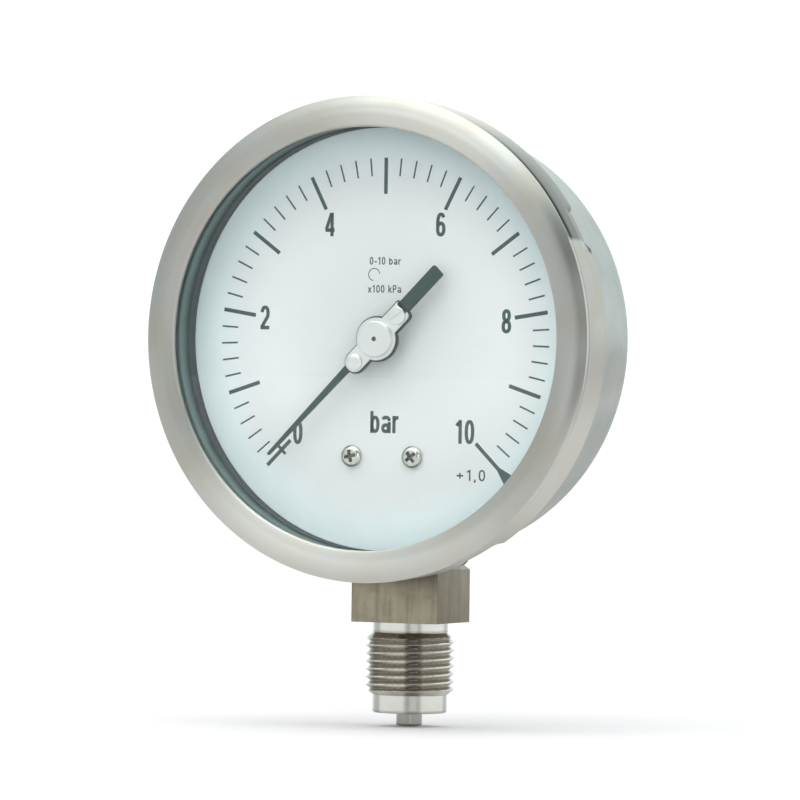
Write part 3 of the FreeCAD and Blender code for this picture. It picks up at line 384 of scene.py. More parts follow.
def turned_steel(
    name, base, tint, rough, grain, about="dial", fine=9000.0, depth=1.0, aniso=0.0, contrast=0.07
):
    """Steel finished round an axis: long fine streaks along the turn, uneven tone and sheen.

    The mesh attribute "shade" darkens it with painted shade and painted dark reflections, "stain"
    turns it brown, where cutting oil has dried, and a third attribute adds painted highlights.
    """
    paint = Paint(name, Metallic=1.0, Roughness=rough, Anisotropic=aniso)
    c, s, radius, along = paint.about_dial() if about == "dial" else paint.about_stem()
    streak_at = paint.vector(
        paint.math("MULTIPLY", c, grain),
        paint.math("MULTIPLY", s, grain),
        paint.math("MULTIPLY", radius, fine),
    )
    streak = paint.noise(streak_at, 1.0, 4.0, 0.6, w=paint.math("MULTIPLY", along, fine * 0.9))
    broad_at = paint.vector(
        paint.math("MULTIPLY", c, grain * 0.6),
        paint.math("MULTIPLY", s, grain * 0.6),
        paint.math("MULTIPLY", radius, fine * 0.12),
    )
    broad = paint.noise(broad_at, 1.0, 2.0, 0.5, w=paint.math("MULTIPLY", along, fine * 0.1))
    cloud = paint.noise(paint.position(), 90.0, 3.0, 0.5)
    fine_part, broad_part = paint.math("MULTIPLY", streak, 0.55), paint.math("MULTIPLY", broad, 0.45)
    tone = paint.math("ADD", fine_part, broad_part)
    shade = paint.mix(paint.between(tone, 0.3, 0.7), dimmed(base, contrast), colour(*base))
    warm = paint.mix(paint.between(cloud, 0.38, 0.66), shade, colour(*tint), "MULTIPLY")
    oily = paint.node("Attribute", attribute_name="stain").outputs["Fac"]
    # Painted shade and painted dark reflections: the "shade" attribute turns the colour near black.
    painted_dark = paint.node("Attribute", attribute_name="shade").outputs["Fac"]
    stained = paint.mix(oily, warm, colour(0.3, 0.262, 0.21))
    # Painted highlights: the third attribute turns the colour pale grey.
    painted_highlight_share = paint.node("Attribute", attribute_name="painted_highlight").outputs["Fac"]
    wear_and_painted_shade = paint.mix(painted_dark, stained, colour(0.003, 0.012, 0.012))
    paint.give("Base Color", paint.mix(painted_highlight_share, wear_and_painted_shade, colour(0.86, 0.85, 0.8)))
    paint.give(
        "Roughness",
        paint.math(
            "ADD",
            paint.between(streak, 0.3, 0.7, rough - 0.05, rough + 0.05),
            paint.between(cloud, 0.3, 0.7, -0.03, 0.03),
        ),
    )
    if aniso:
        paint.shader.inputs["Anisotropic Rotation"].default_value = 0.25
        tangent = paint.node("Tangent", direction_type="RADIAL", axis="Y" if about == "dial" else "Z")
        paint.give("Tangent", tangent.outputs[0])
    paint.bump(streak, 0.25 * depth, 0.00004)
    return paint.material


def lined_steel(name, base, dark, rough):
    """Bar stock ground upwards: darker patches and scratches, painted shade on the side faces."""
    paint = Paint(name, Metallic=1.0, Roughness=rough)
    lines = paint.noise(paint.scaled(paint.position(), (9000.0, 9000.0, 260.0)), 1.0, 3.0, 0.6)
    bands = paint.noise(paint.scaled(paint.position(), (700.0, 700.0, 60.0)), 1.0, 2.0, 0.5)
    patches = paint.noise(paint.position(), 240.0, 4.0, 0.6)
    tone = paint.math("ADD", paint.math("MULTIPLY", lines, 0.4), paint.math("MULTIPLY", bands, 0.6))
    shade = paint.mix(paint.between(tone, 0.25, 0.55), colour(*dark), colour(*base))
    wear_and_painted_shade = paint.mix(paint.between(patches, 0.45, 0.7, 0.0, 0.6), shade, colour(*dark))
    # Painted shade: the side faces darker.
    across = paint.math("ABSOLUTE", paint.split(paint.position())[0])
    flats = paint.between(across, *BLOCK_SIDES, 0.0, 0.65)
    paint.give("Base Color", paint.mix(flats, wear_and_painted_shade, colour(0.1, 0.085, 0.055)))
    uneven = paint.between(tone, 0.3, 0.7, rough + 0.08, rough - 0.06)
    paint.give("Roughness", uneven)
    paint.bump(lines, 0.15, 0.00005)
    return paint.material


def plain_metal(name, base, rough, spots=0.06, scale=700.0, uneven=0.12):
    """Small turned or plated parts: almost even, with faint spots of dullness."""
    paint = Paint(name, Metallic=1.0, Roughness=rough)
    spot = paint.noise(paint.position(), scale, 4.0, 0.6)
    shade = paint.mix(paint.between(spot, 0.35, 0.65), dimmed(base, uneven), colour(*base))
    paint.give("Base Color", shade)
    gloss = paint.between(spot, 0.3, 0.7, rough - spots, rough + spots)
    paint.give("Roughness", gloss)
    return paint.material


def coated(name, base, rough, grain=2500.0, depth=0.15, uneven=0.05, **sockets):
    """Enamel, lacquer, rubber or ink: a fine surface grain and slightly uneven gloss and tone."""
    paint = Paint(name, Roughness=rough, **sockets)
    fine = paint.noise(paint.position(), grain, 3.0, 0.6)
    cloud = paint.noise(paint.position(), 60.0, 2.0, 0.5)
    tone = paint.mix(paint.between(cloud, 0.35, 0.65), dimmed(base, uneven), colour(*base))
    paint.give("Base Color", tone)
    gloss = paint.between(fine, 0.3, 0.7, rough - 0.05, rough + 0.05)
    paint.give("Roughness", gloss)
    paint.bump(fine, depth, 0.00003)
    return paint.material


def dial_enamel(name, middle, rim):
    """White enamel, with painted light and shade: a lighter, bluer rim, a brighter upper middle."""
    paint = Paint(name, Roughness=0.42)
    radius = paint.about_dial()[2]
    cloud = paint.noise(paint.position(), 70.0, 3.0, 0.5)
    reach = paint.math("ADD", radius, paint.between(cloud, 0.3, 0.7, -0.0015, 0.0015))
    # Painted light and shade towards the rim: lighter, with a blue cast like the shade there.
    outer = paint.between(reach, 0.034, 0.049, smooth=True)
    tone = paint.mix(outer, colour(*middle), colour(*rim))
    # Painted light: brighter over the upper middle of the dial.
    z = paint.split(paint.position())[2]
    upper = paint.between(z, (HEAD - 34) * MM, (HEAD - 2) * MM, smooth=True)
    painted_light_reach = paint.math("MULTIPLY", paint.between(reach, 0.01, 0.034, smooth=True), upper)
    painted_light_gain = paint.mix(painted_light_reach, colour(1, 1, 1), colour(1.17, 1.17, 1.17))
    paint.give("Base Color", paint.mix(1.0, tone, painted_light_gain, "MULTIPLY"))
    fine = paint.noise(paint.position(), 2500.0, 3.0, 0.6)
    paint.give("Roughness", paint.between(fine, 0.3, 0.7, 0.38, 0.46))
    paint.bump(fine, 0.05, 0.00003)
    return paint.material


def gasket_rubber(name, front, back):
    """Grey rubber, with painted shade that darkens it towards the dial."""
    paint = Paint(name, Roughness=0.5, Specular_IOR_Level=0.1)
    y = paint.split(paint.position())[1]
    cloud = paint.noise(paint.position(), 120.0, 3.0, 0.6)
    station = paint.math("MULTIPLY", y, -1.0)
    depth = paint.math("ADD", station, paint.between(cloud, 0.3, 0.7, -0.0004, 0.0004))
    # Painted shade: darker deeper in, towards the dial.
    painted_shade_toward_dial = paint.between(depth, 0.0176, 0.0214, 1.0, 0.0, smooth=True)
    paint.give("Base Color", paint.mix(painted_shade_toward_dial, colour(*front), colour(*back)))
    fine = paint.noise(paint.position(), 1500.0, 3.0, 0.6)
    paint.give("Roughness", paint.between(fine, 0.3, 0.7, 0.42, 0.58))
    paint.bump(fine, 0.2, 0.00003)
    return paint.material


def pane_glass(name):
    """Clear glass that lets the lamps through to what is behind it."""
    paint = Paint(name, Base_Color=colour(0.975, 0.99, 0.99), Roughness=0.0, IOR=1.5)
    paint.shader.inputs["Transmission Weight"].default_value = 1.0
    paint.shader.inputs["Specular IOR Level"].default_value = 0.14
    output = paint.tree.nodes["Material Output"]
    clear = paint.node("BsdfTransparent")
    clear.inputs[0].default_value = colour(0.95, 0.97, 0.97)
    path = paint.node("LightPath")
    both = paint.node("MixShader")
    paint.feed(both.inputs[0], path.outputs["Is Shadow Ray"])
    paint.feed(both.inputs[1], paint.shader.outputs[0])
    paint.feed(both.inputs[2], clear.outputs[0])
    paint.feed(output.inputs["Surface"], both.outputs[0])
    return paint.material


RING_STEEL = turned_steel(
    "ring_steel", (0.425, 0.425, 0.4), (1.0, 0.965, 0.905), 0.38, 5.0, fine=7000.0, depth=0.4, aniso=0.9
)
CASE_STEEL = turned_steel(
    "case_steel",
    (0.425, 0.435, 0.413),
    (0.92, 0.985, 0.98),
    0.36,
    9.0,
    fine=1700.0,
    depth=0.8,
    aniso=0.75,
    contrast=0.26,
)
STEM_STEEL = turned_steel(
    "stem_steel", (0.665, 0.67, 0.635), (0.98, 0.96, 0.92), 0.16, 3.0, about="stem", fine=5000.0
)
BLOCK_STEEL = lined_steel("block_steel", (0.325, 0.292, 0.225), (0.21, 0.179, 0.13), 0.4)
ENAMEL = dial_enamel("dial_enamel", (0.745, 0.755, 0.755), (0.8, 0.92, 0.93))
INK = coated("dial_ink", (0.03, 0.075, 0.07), 0.5, depth=0.05, Specular_IOR_Level=0.15)
BLADE_BLACK = coated(
    "blade_black", (0.01, 0.04, 0.036), 0.45, grain=5000.0, depth=0.1, Specular_IOR_Level=0.2
)
SATIN_SILVER = plain_metal("satin_silver", (0.77, 0.77, 0.755), 0.3, spots=0.02, uneven=0.03)
ZINC = plain_metal("bright_zinc", (0.58, 0.59, 0.52), 0.16)
# Painted shade: the dark floor of the dial screws' cross recesses.
RECESS_PAINTED_SHADE = plain_metal("recess_painted_shade", (0.13, 0.125, 0.1), 0.45)
PLAIN_STEEL = plain_metal("plain_steel", (0.58, 0.58, 0.57), 0.3)
# The arbor's end, coloured far darker than steel as painted shade in the boss's hole.
PIVOT_PAINTED_SHADE = plain_metal("pivot_painted_shade", (0.12, 0.135, 0.13), 0.5)
BRASS = plain_metal("machined_brass", (0.74, 0.58, 0.3), 0.28)
SPRING_BRONZE = plain_metal("spring_bronze", (0.62, 0.42, 0.24), 0.3)
TUBE_STEEL = plain_metal("tube_steel", (0.56, 0.55, 0.53), 0.33, scale=350.0)
RUBBER = coated("black_rubber", (0.03, 0.031, 0.032), 0.6, grain=1800.0, depth=0.3, uneven=0.25)
GASKET_GREY = gasket_rubber("gasket_grey", (0.16, 0.225, 0.22), (0.012, 0.032, 0.032))
GLASS = pane_glass("window_glass")


# --- bayonet ring and case ---


def smooth_step(low, high, value):
    """0 below low and 1 above high, with an even change between."""
    t = min(1.0, max(0.0, (value - low) / (high - low)))
    return t * t * (3 - 2 * t)


def away(degrees, centre):
    """Angle from a centre to degrees, between -180 and 180."""
    return (degrees - centre + 180) % 360 - 180


def polar(x, y, z):
    """Station, radius and angle in degrees of a point about the dial's axis."""
    up = z - HEAD
    return -y, math.hypot(x, up), math.degrees(math.atan2(up, x)) % 360


def ring_painted_shade(x, y, z):
    """Painted shade on the lip's wall, the bead's right side, the creases and round the dents."""
    station, radius, degrees = polar(x, y, z)
    # Painted shade: the lip's wall dark, fading out towards its rim.
    if radius < 48.62:
        return 0.9 * (1 - smooth_step(26.65, 26.95, station))
    facing = abs(away(degrees, 6))
    # Painted shade: a dark band on the bead's right side.
    painted_dark = 0.42 * smooth_step(52.6, 54.6, radius) * smooth_step(25.0, 26.2, station)
    painted_dark *= 1 - smooth_step(14.0, 34.0, facing)
    if radius < 53.5 or station > 26.2:
        return painted_dark
    for centre in DENTS:
        off = away(degrees, centre)
        along = smooth_step(-4.2, -3.0, off) * (1 - smooth_step(14.0, 46.0, off))
        back = smooth_step(15.0, 24.5, station)
        crease = smooth_step(23.5, 24.3, station)
        # Painted shade on the skirt beside the creased dents, darkest in the crease.
        if centre in CREASED:
            painted_dark = max(painted_dark, along * (0.4 + 0.2 * back), along * crease * 0.95)
        # Painted shade: a dark pocket at the low end of each dent.
        pocket = smooth_step(-7.2, -6.2, off) * (1 - smooth_step(-4.6, -3.6, off))
        painted_dark = max(painted_dark, 0.85 * pocket * (1 - smooth_step(16.2, 18.2, station)))
    return painted_dark


def ring_painted_highlights(x, y, z):
    """Painted highlights on the bead's outer edge and the lip's rim, and painted light on stretches
    low down, inside the bead at the top and on the right of the skirt.
    """
    station, radius, degrees = polar(x, y, z)
    if radius < 48.9:
        return 0.05 * smooth_step(27.3, 27.5, station)
    # Painted highlight: a bright line along the bead's outer edge, left out beside the dents.
    edge = smooth_step(55.6, 55.75, radius) * smooth_step(26.0, 26.25, station)
    edge *= 1 - smooth_step(26.62, 26.75, station)
    for centre in DENTS:
        off = away(degrees, centre)
        edge *= 1 - smooth_step(-4.5, -2.5, off) * (1 - smooth_step(30.0, 62.0, off))
    # Painted light on the ring's lower stretch, inside the bead at the top, and on the skirt's right.
    low = abs(away(degrees, 266))
    if station < 25.5:
        low = 1.6 * abs(away(degrees, 236))
    painted_light_low = (0.12 + 0.2 * smooth_step(50.0, 52.0, radius)) * (1 - smooth_step(24.0, 62.0, low))
    high = abs(away(degrees, 74))
    inner = 0.22 * (1 - smooth_step(52.0, 53.6, radius)) * (1 - smooth_step(10.0, 40.0, high))
    right = 0.26 * smooth_step(300.0, 318.0, degrees) * (1 - smooth_step(336.0, 356.0, degrees))
    skirt = right * smooth_step(55.0, 55.5, radius)
    return max(0.5 * edge, painted_light_low, inner, skirt)


def ring_dents(station, radius, angle):
    """Press each tab's stretch of the skirt inwards, and pinch the skirt beside it."""
    degrees = math.degrees(angle)
    for centre in DENTS:
        off = away(degrees, centre)
        if abs(off) > 40 or radius < 53.9:
            continue
        across = smooth_step(-6.0, -3.6, off) * (1 - smooth_step(4.6, 5.2, off))
        deep = 1 - smooth_step(15.6, 20.5, station)
        radius -= 0.85 * across * deep
        beside = smooth_step(-4.0, 2.0, off) * (1 - smooth_step(14.0, 30.0, off))
        groove = smooth_step(23.6, 24.7, station) * (1 - smooth_step(25.6, 26.1, station))
        radius -= 0.5 * beside * groove if centre in CREASED else 0.0
    return station, radius


def make_ring():
    """Domed bead with a tight lip, and a skirt that tapers back over the case's flange."""
    bead = [
        (27.35, 48.44), (27.62, 48.6), (27.78, 49.0), (27.93, 50.0), (28.05, 51.2), (28.05, 51.8),
        (27.97, 52.5), (27.78, 53.4), (27.44, 54.3), (27.02, 55.05), (26.72, 55.52),
        (26.55, 55.76), (26.3, 55.88),
    ]
    face = threaded(bead, 5)
    skirt = [(26.2 - 10.7 * n / 42, 55.87 - 0.45 * n / 42) for n in range(1, 42)]
    hem = [(15.46, 55.42), (15.4, 55.34), (15.4, 54.58), (15.46, 54.5)]
    inner = [(15.8 + 10.0 * n / 12, 54.5) for n in range(13)]
    lip = [(26.3, 54.5), (26.3, 52.0), (26.3, 50.0), (26.3, 48.54), (26.34, 48.46), (26.45, 48.44)]
    vertices, faces = spun(face + skirt + hem + inner + lip, 720, warp=ring_dents)
    marks = {"shade": ring_painted_shade, "painted_highlight": ring_painted_highlights}
    put("ring", vertices, faces, RING_STEEL, "ring", ["bayonet_ring"], "stainless_ring", **marks)


def make_tabs():
    """The four tongues folded in from the skirt, which grip the case's flange."""
    parts = []
    for centre in DENTS:
        near = arc((0, 0), 52.6, centre - 5.8, centre + 5.8, 16)
        far = arc((0, 0), 54.4, centre + 5.8, centre - 5.8, 16)
        parts.append(slab(far[::-1] + near[::-1], 15.42, 16.38, 0.08))
    put("ring_tabs", *joined(*parts), RING_STEEL, "ring", (), "stainless_ring")


def make_case():
    """Cup with a flange in front, a rounded rear corner and a pressed ring in its back."""
    profile = soften(
        [
            (17.6, 49.0, 0.1), (17.6, 54.0, 0.2), (16.7, 54.0, 0.2), (16.7, 49.8, 0.5),
            (-12.9, 49.8, 4.0), (-12.9, 41.0, 0.3), (-12.4, 40.4, 0.4), (-12.4, 38.6, 0.4),
            (-12.9, 38.0, 0.3), (-12.9, 0.02), (-12.1, 0.02), (-12.1, 49.0, 3.2),
        ],
        steps=8,
    )
    profile = [(12.0, 49.0), (13.2, 49.0)] + profile
    put("case", *spun(profile, 384), CASE_STEEL, "case", ["case_shell"], "stainless_case")


# --- window, gasket and dial ---


def make_window():
    """Flat pane, and the gasket round it with a narrow lip down to the dial."""
    pane = [(22.25, 0.01), (22.25, 53.3), (22.5, 53.6), (25.9, 53.6), (26.2, 53.3), (26.2, 0.01)]
    put("window_pane", *spun(pane, 256), GLASS, "case", ["window"], "glass", sharp=20)
    wall = [(15.0, 48.98), (15.0, 48.82, 0.05), (17.75, 48.82, 0.2), (18.15, 49.0, 0.2)]
    profile = soften([*wall, (22.2, 49.0, 0.3), (22.2, 53.6), (17.62, 53.6), (17.62, 48.98)], 4)
    put("gasket", *spun(profile, 256), GASKET_GREY, "case", ["window_gasket"], "gasket")


def make_dial():
    """Flat plate with a hole for the arbor."""
    profile = soften([(14.1, 3.6), (14.1, 48.7, 0.1), (14.8, 48.7, 0.1), (14.8, 3.6, 0.1)], 3)
    put("dial_plate", *spun(profile, 256), ENAMEL, "case", ["dial"], "dial_white")


PRINT_STATION = 14.812


def flat(points):
    """A printed shape over anticlockwise (x, z) points."""
    return [(x, -PRINT_STATION, HEAD + z) for x, z in points], [list(range(len(points)))]


def ray(clock, near, far, width):
    """A printed bar along a radius, at an angle clockwise from the top."""
    a = math.radians(clock)
    out, side = Vector((math.sin(a), math.cos(a))), Vector((math.cos(a), -math.sin(a)))
    corners = [
        out * near - side * width / 2,
        out * near + side * width / 2,
        out * far + side * width / 2,
        out * far - side * width / 2,
    ]
    return flat([tuple(c) for c in corners])


def stroke(points, width, closed=False):
    """A printed line of even width through points."""
    count = len(points)
    left, right = [], []
    for n, point in enumerate(points):
        here = Vector(point)
        before = Vector(points[n - 1]) if closed or n else None
        after = Vector(points[(n + 1) % count]) if closed or n < count - 1 else None
        a = (here - before).normalized() if before is not None else None
        b = (after - here).normalized() if after is not None else None
        along = ((a or b) + (b or a)).normalized()
        normal = Vector((-along.y, along.x))
        reach = width / 2 / max(0.5, normal.dot(Vector((-(b or a).y, (b or a).x))))
        left.append(tuple(here + normal * reach))
        right.append(tuple(here - normal * reach))
    vertices = [(x, -PRINT_STATION, HEAD + z) for x, z in left + right]
    last = count if closed else count - 1
    faces = [(count + n, count + (n + 1) % count, (n + 1) % count, n) for n in range(last)]
    return vertices, faces


def oval(cx, cy, rx, ry, first=0.0, last=360.0, steps=28):
    """Points on an oval a little squarer than an ellipse, or on a stretch of one."""
    count = steps if abs(last - first) >= 360 else steps + 1
    turns = [math.radians(first + (last - first) * n / steps) for n in range(count)]
    power = 0.86
    points = []
    for a in turns:
        c, s = math.cos(a), math.sin(a)
        across, up = math.copysign(abs(c) ** power, c), math.copysign(abs(s) ** power, s)
        points.append((cx + rx * across, cy + ry * up))
    return points


def line(*points):
    """An open stroke of a letter."""
    return list(points), False


# Centre lines of each letter one unit tall: its width, and (points, closed) strokes.
GLYPHS = {
    "0": (0.45, [(oval(0.225, 0.5, 0.15, 0.43), True)]),
    "1": (0.36, [line((0.23, 0.0), (0.23, 1.0)), line((0.23, 0.93), (0.05, 0.76))]),
    "2": (0.45, [
        line(*oval(0.225, 0.69, 0.145, 0.24, 175.0, -38.0, 16), (0.075, 0.1)),
        line((0.0, 0.07), (0.44, 0.07)),
    ]),
    "4": (0.46, [
        line((0.33, 0.0), (0.33, 1.0)), line((0.3, 0.97), (0.045, 0.29)), line((0.0, 0.265), (0.46, 0.265))
    ]),
    "6": (0.45, [
        (oval(0.225, 0.31, 0.15, 0.24), True), line(*oval(0.235, 0.5, 0.16, 0.43, 40.0, 185.0, 14))
    ]),
    "8": (0.45, [(oval(0.225, 0.735, 0.13, 0.195), True), (oval(0.225, 0.28, 0.15, 0.21), True)]),
    "b": (0.46, [line((0.07, 0.0), (0.07, 0.9)), (oval(0.225, 0.355, 0.145, 0.285), True)]),
    "a": (0.45, [
        line((0.375, 0.0), (0.375, 0.46)),
        line(*oval(0.215, 0.5, 0.16, 0.145, 160.0, 0.0, 10)),
        (oval(0.2, 0.2, 0.135, 0.13), True),
    ]),
    "r": (0.32, [line((0.07, 0.0), (0.07, 0.71)), line(*oval(0.28, 0.44, 0.21, 0.2, 180.0, 88.0, 8))]),
    "k": (0.42, [
        line((0.07, 0.0), (0.07, 1.0)), line((0.36, 0.7), (0.1, 0.33)), line((0.17, 0.42), (0.38, 0.0))
    ]),
    "P": (0.45, [
        line((0.07, 0.0), (0.07, 1.0)),
        line((0.07, 0.93), (0.24, 0.93), *oval(0.24, 0.7, 0.14, 0.23, 80.0, -80.0, 8), (0.07, 0.47)),
    ]),
    "x": (0.4, [line((0.04, 0.0), (0.36, 0.68)), line((0.36, 0.0), (0.04, 0.68))]),
    ",": (0.2, [line((0.1, 0.14), (0.1, 0.0), (0.05, -0.14))]),
    "-": (0.34, [line((0.04, 0.38), (0.3, 0.38))]),
    "+": (0.5, [line((0.02, 0.45), (0.42, 0.45)), line((0.22, 0.2), (0.22, 0.7))]),
    " ": (0.24, []),
}


def words(text, x, z, height, width, weight=0.15, gap=0.09):
    """Printed text centred on x, z, squeezed to a width."""
    advance = sum(GLYPHS[letter][0] + gap for letter in text) - gap
    squeeze = width / (advance * height)
    parts = []
    cursor = -advance / 2
    for letter in text:
        span, strokes = GLYPHS[letter]
        for points, closed in strokes:
            placed = [
                (x + (cursor + px) * height * squeeze, z + (py - 0.5) * height) for px, py in points
            ]
            parts.append(stroke(placed, weight * height, closed))
        cursor += span + gap
    return parts


def make_print():
    """Scale from 0 to 10 in fifths, with the numerals, the unit and the small marks."""
    parts = []
    for n in range(51):
        clock = -135 + 5.4 * n
        if n % 5:
            parts.append(ray(clock, 37.6, 41.7, 0.4))
        else:
            parts.append(ray(clock, 33.4, 41.7, 0.9))
    parts.append(flat([(-26.9, -25.3), (-26.4, -24.8), (-24.6, -26.6), (-25.1, -27.1)][::-1]))
    numerals = {"0": (-21.75, -21.75), "2": (-30.6, 4.7), "4": (-14.15, 26.3), "6": (14.05, 26.4)}
    numerals.update({"8": (30.9, 4.4), "10": (20.8, -21.0)})
    for text, (x, z) in numerals.items():
        parts += words(text, x, z, 5.45, 2.35 if len(text) == 1 else 4.75, 0.155)
    parts += words("bar", 0.5, -18.8, 5.6, 7.3, 0.145)
    parts += words("0-10 bar", 0.1, 18.0, 1.75, 8.0, 0.16)
    parts += words("x100 kPa", 0.0, 11.55, 1.75, 8.5, 0.16)
    parts += words("+1,0", 22.5, -30.9, 2.6, 7.4, 0.15)
    parts.append(stroke(arc((-2.7, 14.85), 1.4, 8, 262, 24), 0.22))
    a = math.radians(135)
    out, side = Vector((math.sin(a), math.cos(a))), Vector((math.cos(a), -math.sin(a)))
    wedge = [out * 41.5 - side * 0.45, out * 41.5 + side * 0.45]
    wedge += [out * 48.0 + side * 2.3, out * 48.0 - side * 2.3]
    parts.append(flat([tuple(p) for p in wedge[::-1]]))
    put("dial_print", *joined(*parts), INK, "case", (), "blade_black")


def make_dial_screws():
    """Pan heads with cross recesses, set at different angles."""
    apart, z = DIAL_SCREWS
    shank = [(8.8, 0.02), (8.8, 1.2, 0.2), (14.8, 1.2)]
    head = [(14.8, 2.55, 0.1), (15.5, 2.55, 0.4), (16.1, 1.9, 1.5), (16.3, 0.02)]
    for name, x, turn in (("dial_screw_left", -apart, 12.0), ("dial_screw_right", apart, 38.0)):
        vertices, faces = spun(soften(shank + head, 5), 64)
        shifted = moved(vertices, x, z)
        both = ["dial_screws"] if x < 0 else []
        piece = put(name, shifted, faces, ZINC, "case", both, "zinc")
        for quarter in (0, 90):
            cut_by(piece, *blade_cutter(x, z, turn + quarter, 1.55, 0.42, 15.25, 16.6))
        # Painted shade: faces in the recess floors take the dark material.
        piece.data.materials.append(RECESS_PAINTED_SHADE)
        for face in piece.data.polygons:
            cx, cy, cz = face.center / MM
            sunk = math.hypot(cx - x, cz - HEAD - z) < 1.75 and -16.03 < cy < -15.1
            face.material_index = 1 if sunk else 0


def blade_cutter(x, z, turn, reach, half, floor, top):
    """A tapered bar for cutting one arm pair of a recess or a slot."""
    a = math.radians(turn)
    u, v = Vector((math.cos(a), math.sin(a))), Vector((-math.sin(a), math.cos(a)))
    vertices = []
    for station, grow in ((floor, 0.62), (top, 1.1)):
        for su, sv in ((-1, -1), (1, -1), (1, 1), (-1, 1)):
            p = Vector((x, z)) + u * su * reach * grow + v * sv * half * (0.8 if grow < 1 else 1.05)
            vertices.append((p.x, -station, HEAD + p.y))
    sides = [(0, 1, 5, 4), (1, 2, 6, 5), (2, 3, 7, 6), (3, 0, 4, 7)]
    return vertices, [(3, 2, 1, 0), (4, 5, 6, 7), *sides]


# --- pointer ---


def pointer_place(x, z):
    """From the pointer's own axes, tip along +x, to the dial's."""
    a = math.radians(POINTER_BEARING)
    return x * math.cos(a) - z * math.sin(a), x * math.sin(a) + z * math.cos(a)


def beside(points):
    """Points of the blade's tip and tail, which lie a little beside the hub's centre line."""
    return [(x, z + BLADE_OFFSET, *rest) for x, z, *rest in points]


def hub_outline(grow, with_blade):
    """Disc with a strap through it, anticlockwise, with the tip and tail or with the notch."""
    hub, half, end = 5.2 + grow, 2.6 + grow, 10.15 + grow
    root = math.degrees(math.asin(half / hub))
    upper = arc((0, 0), hub, root, 180 - root, 24)
    lower = arc((0, 0), hub, 180 + root, 360 - root, 24)
    if with_blade:
        tail, tip_half = 1.6, 0.83
        first = math.degrees(math.asin((BLADE_OFFSET - tip_half) / half))
        last = math.degrees(math.asin((BLADE_OFFSET + tip_half) / half))
        corners = [(-end, tail), (-22.2, tail, 0.35), (-22.2, -tail, 0.35), (-end, -tail)]
        left = [(-LOBE, half), (-end, half, 1.2), *beside(corners), (-end, -half, 0.5)]
        left = soften([*left, (-LOBE, -half)])
        right = arc((LOBE, 0), half, -90, first, 12)
        right += beside([(38.3, -0.34), (38.6, -0.2), (38.6, 0.2), (38.3, 0.34)])
        right += arc((LOBE, 0), half, last, 90, 12)
    else:
        notch, floor = 1.42, end - 0.32
        teeth = [(-floor - (0.1 if n % 2 else -0.08), notch * (3 - n) / 4) for n in range(7)]
        mouth = [(-end, notch, 0.08), (-floor, notch), *teeth, (-floor, -notch)]
        mouth = beside([*mouth, (-end, -notch, 0.08)])
        left = soften([(-LOBE, half), (-end, half, 1.1), *mouth, (-end, -half, 0.45), (-LOBE, -half)])
        right = arc((LOBE, 0), half, -90, 90, 20)
    return upper + left + lower + right


def make_pointer():
    """Blade, trim plate, boss, arbor's end, rivet and trim screw."""
    vertices, faces = slab(hub_outline(0.08, True), 17.9, 18.7, 0.05, pointer_place)
    put("blade", vertices, faces, BLADE_BLACK, "blade", ["pointer_blade"], "blade_black")
    vertices, faces = slab(hub_outline(-0.25, False), 18.73, 19.2, 0.1, pointer_place)
    put("trim_plate", vertices, faces, SATIN_SILVER, "pointer", ["pointer_plate"], "satin_silver")
    boss = soften(
        [
            (15.3, 1.0), (15.3, 3.0, 0.2), (17.87, 3.0, 0.1), (17.87, 2.5), (19.2, 2.5),
            (19.2, 4.25), (20.3, 4.25, 0.36), (20.3, 0.55, 0.12), (18.8, 0.55), (18.8, 1.0),
        ],
        6,
    )
    put("boss", *spun(boss, 128), SATIN_SILVER, "pointer", ["pointer_bush"], "satin_silver")
    # The arbor's end as a dark disc that fills most of the boss's hole: painted shade there.
    vertices, faces = spun([(18.82, 0.02), (18.82, 0.54), (19.85, 0.54), (19.9, 0.02)], 32)
    put("arbor_end", vertices, faces, PIVOT_PAINTED_SHADE, "pointer", (), "steel")
    shank = [(17.7, 0.02), (17.7, 0.8, 0.1), (19.2, 0.8)]
    head = [(19.2, 2.0, 0.08), (19.55, 1.95, 0.3), (19.74, 1.1, 1.0), (19.75, 0.02)]
    vertices, faces = spun(soften(shank + head, 5), 64)
    vertices = moved(vertices, *pointer_place(LOBE, 0))
    put("rivet", vertices, faces, SATIN_SILVER, "pointer", ["pointer_rivet"], "steel")
    shank = [(18.1, 0.02), (18.1, 0.8, 0.1), (19.24, 0.8)]
    head = [(19.24, 2.1, 0.08), (19.75, 2.1, 0.2), (19.75, 0.02)]
    vertices, faces = spun(soften(shank + head, 4), 64)
    px, pz = pointer_place(-LOBE, 0)
    vertices = moved(vertices, px, pz)
    piece = put("trim_screw_head", vertices, faces, SATIN_SILVER, "trim", ["trim_screw"], "zinc")
    cut_by(piece, *blade_cutter(px, pz, POINTER_BEARING - 10, 3.2, 0.16, 19.42, 20.4))


# --- stem ---

PITCH = 1.814
MAJOR = 10.4775
MINOR = 9.3155


def thread_radius(height, angle):
    """Radius of a right-hand thread with rounded crests and roots, and flanks 67 degrees apart."""
    phase = (height / PITCH - angle / TAU) % 1.0
    ramp = abs(2 * phase - 1)
    wave = smooth_step(0.04, 0.96, ramp) * 0.3 + ramp * 0.7
    return MINOR + (MAJOR - MINOR) * wave


def stem_radius(height, angle):
    """Outer radius of the stem between its end and the wrench block."""
    lead = 8.7 + max(0.0, height - 4.15) * 1.25
    runout = 8.75 + max(0.0, 18.65 - height) * 1.1
    if height < 4.15:
        return 8.7
    if height > 18.65:
        return 8.75
    return min(thread_radius(height, angle), lead, runout)


# Angle and half width of each painted reflection, a dark streak down the stem.
REFLECTION_STREAKS = ((-60, 12), (-127, 10), (12, 14), (62, 8), (104, 14), (150, 9), (-160, 7))


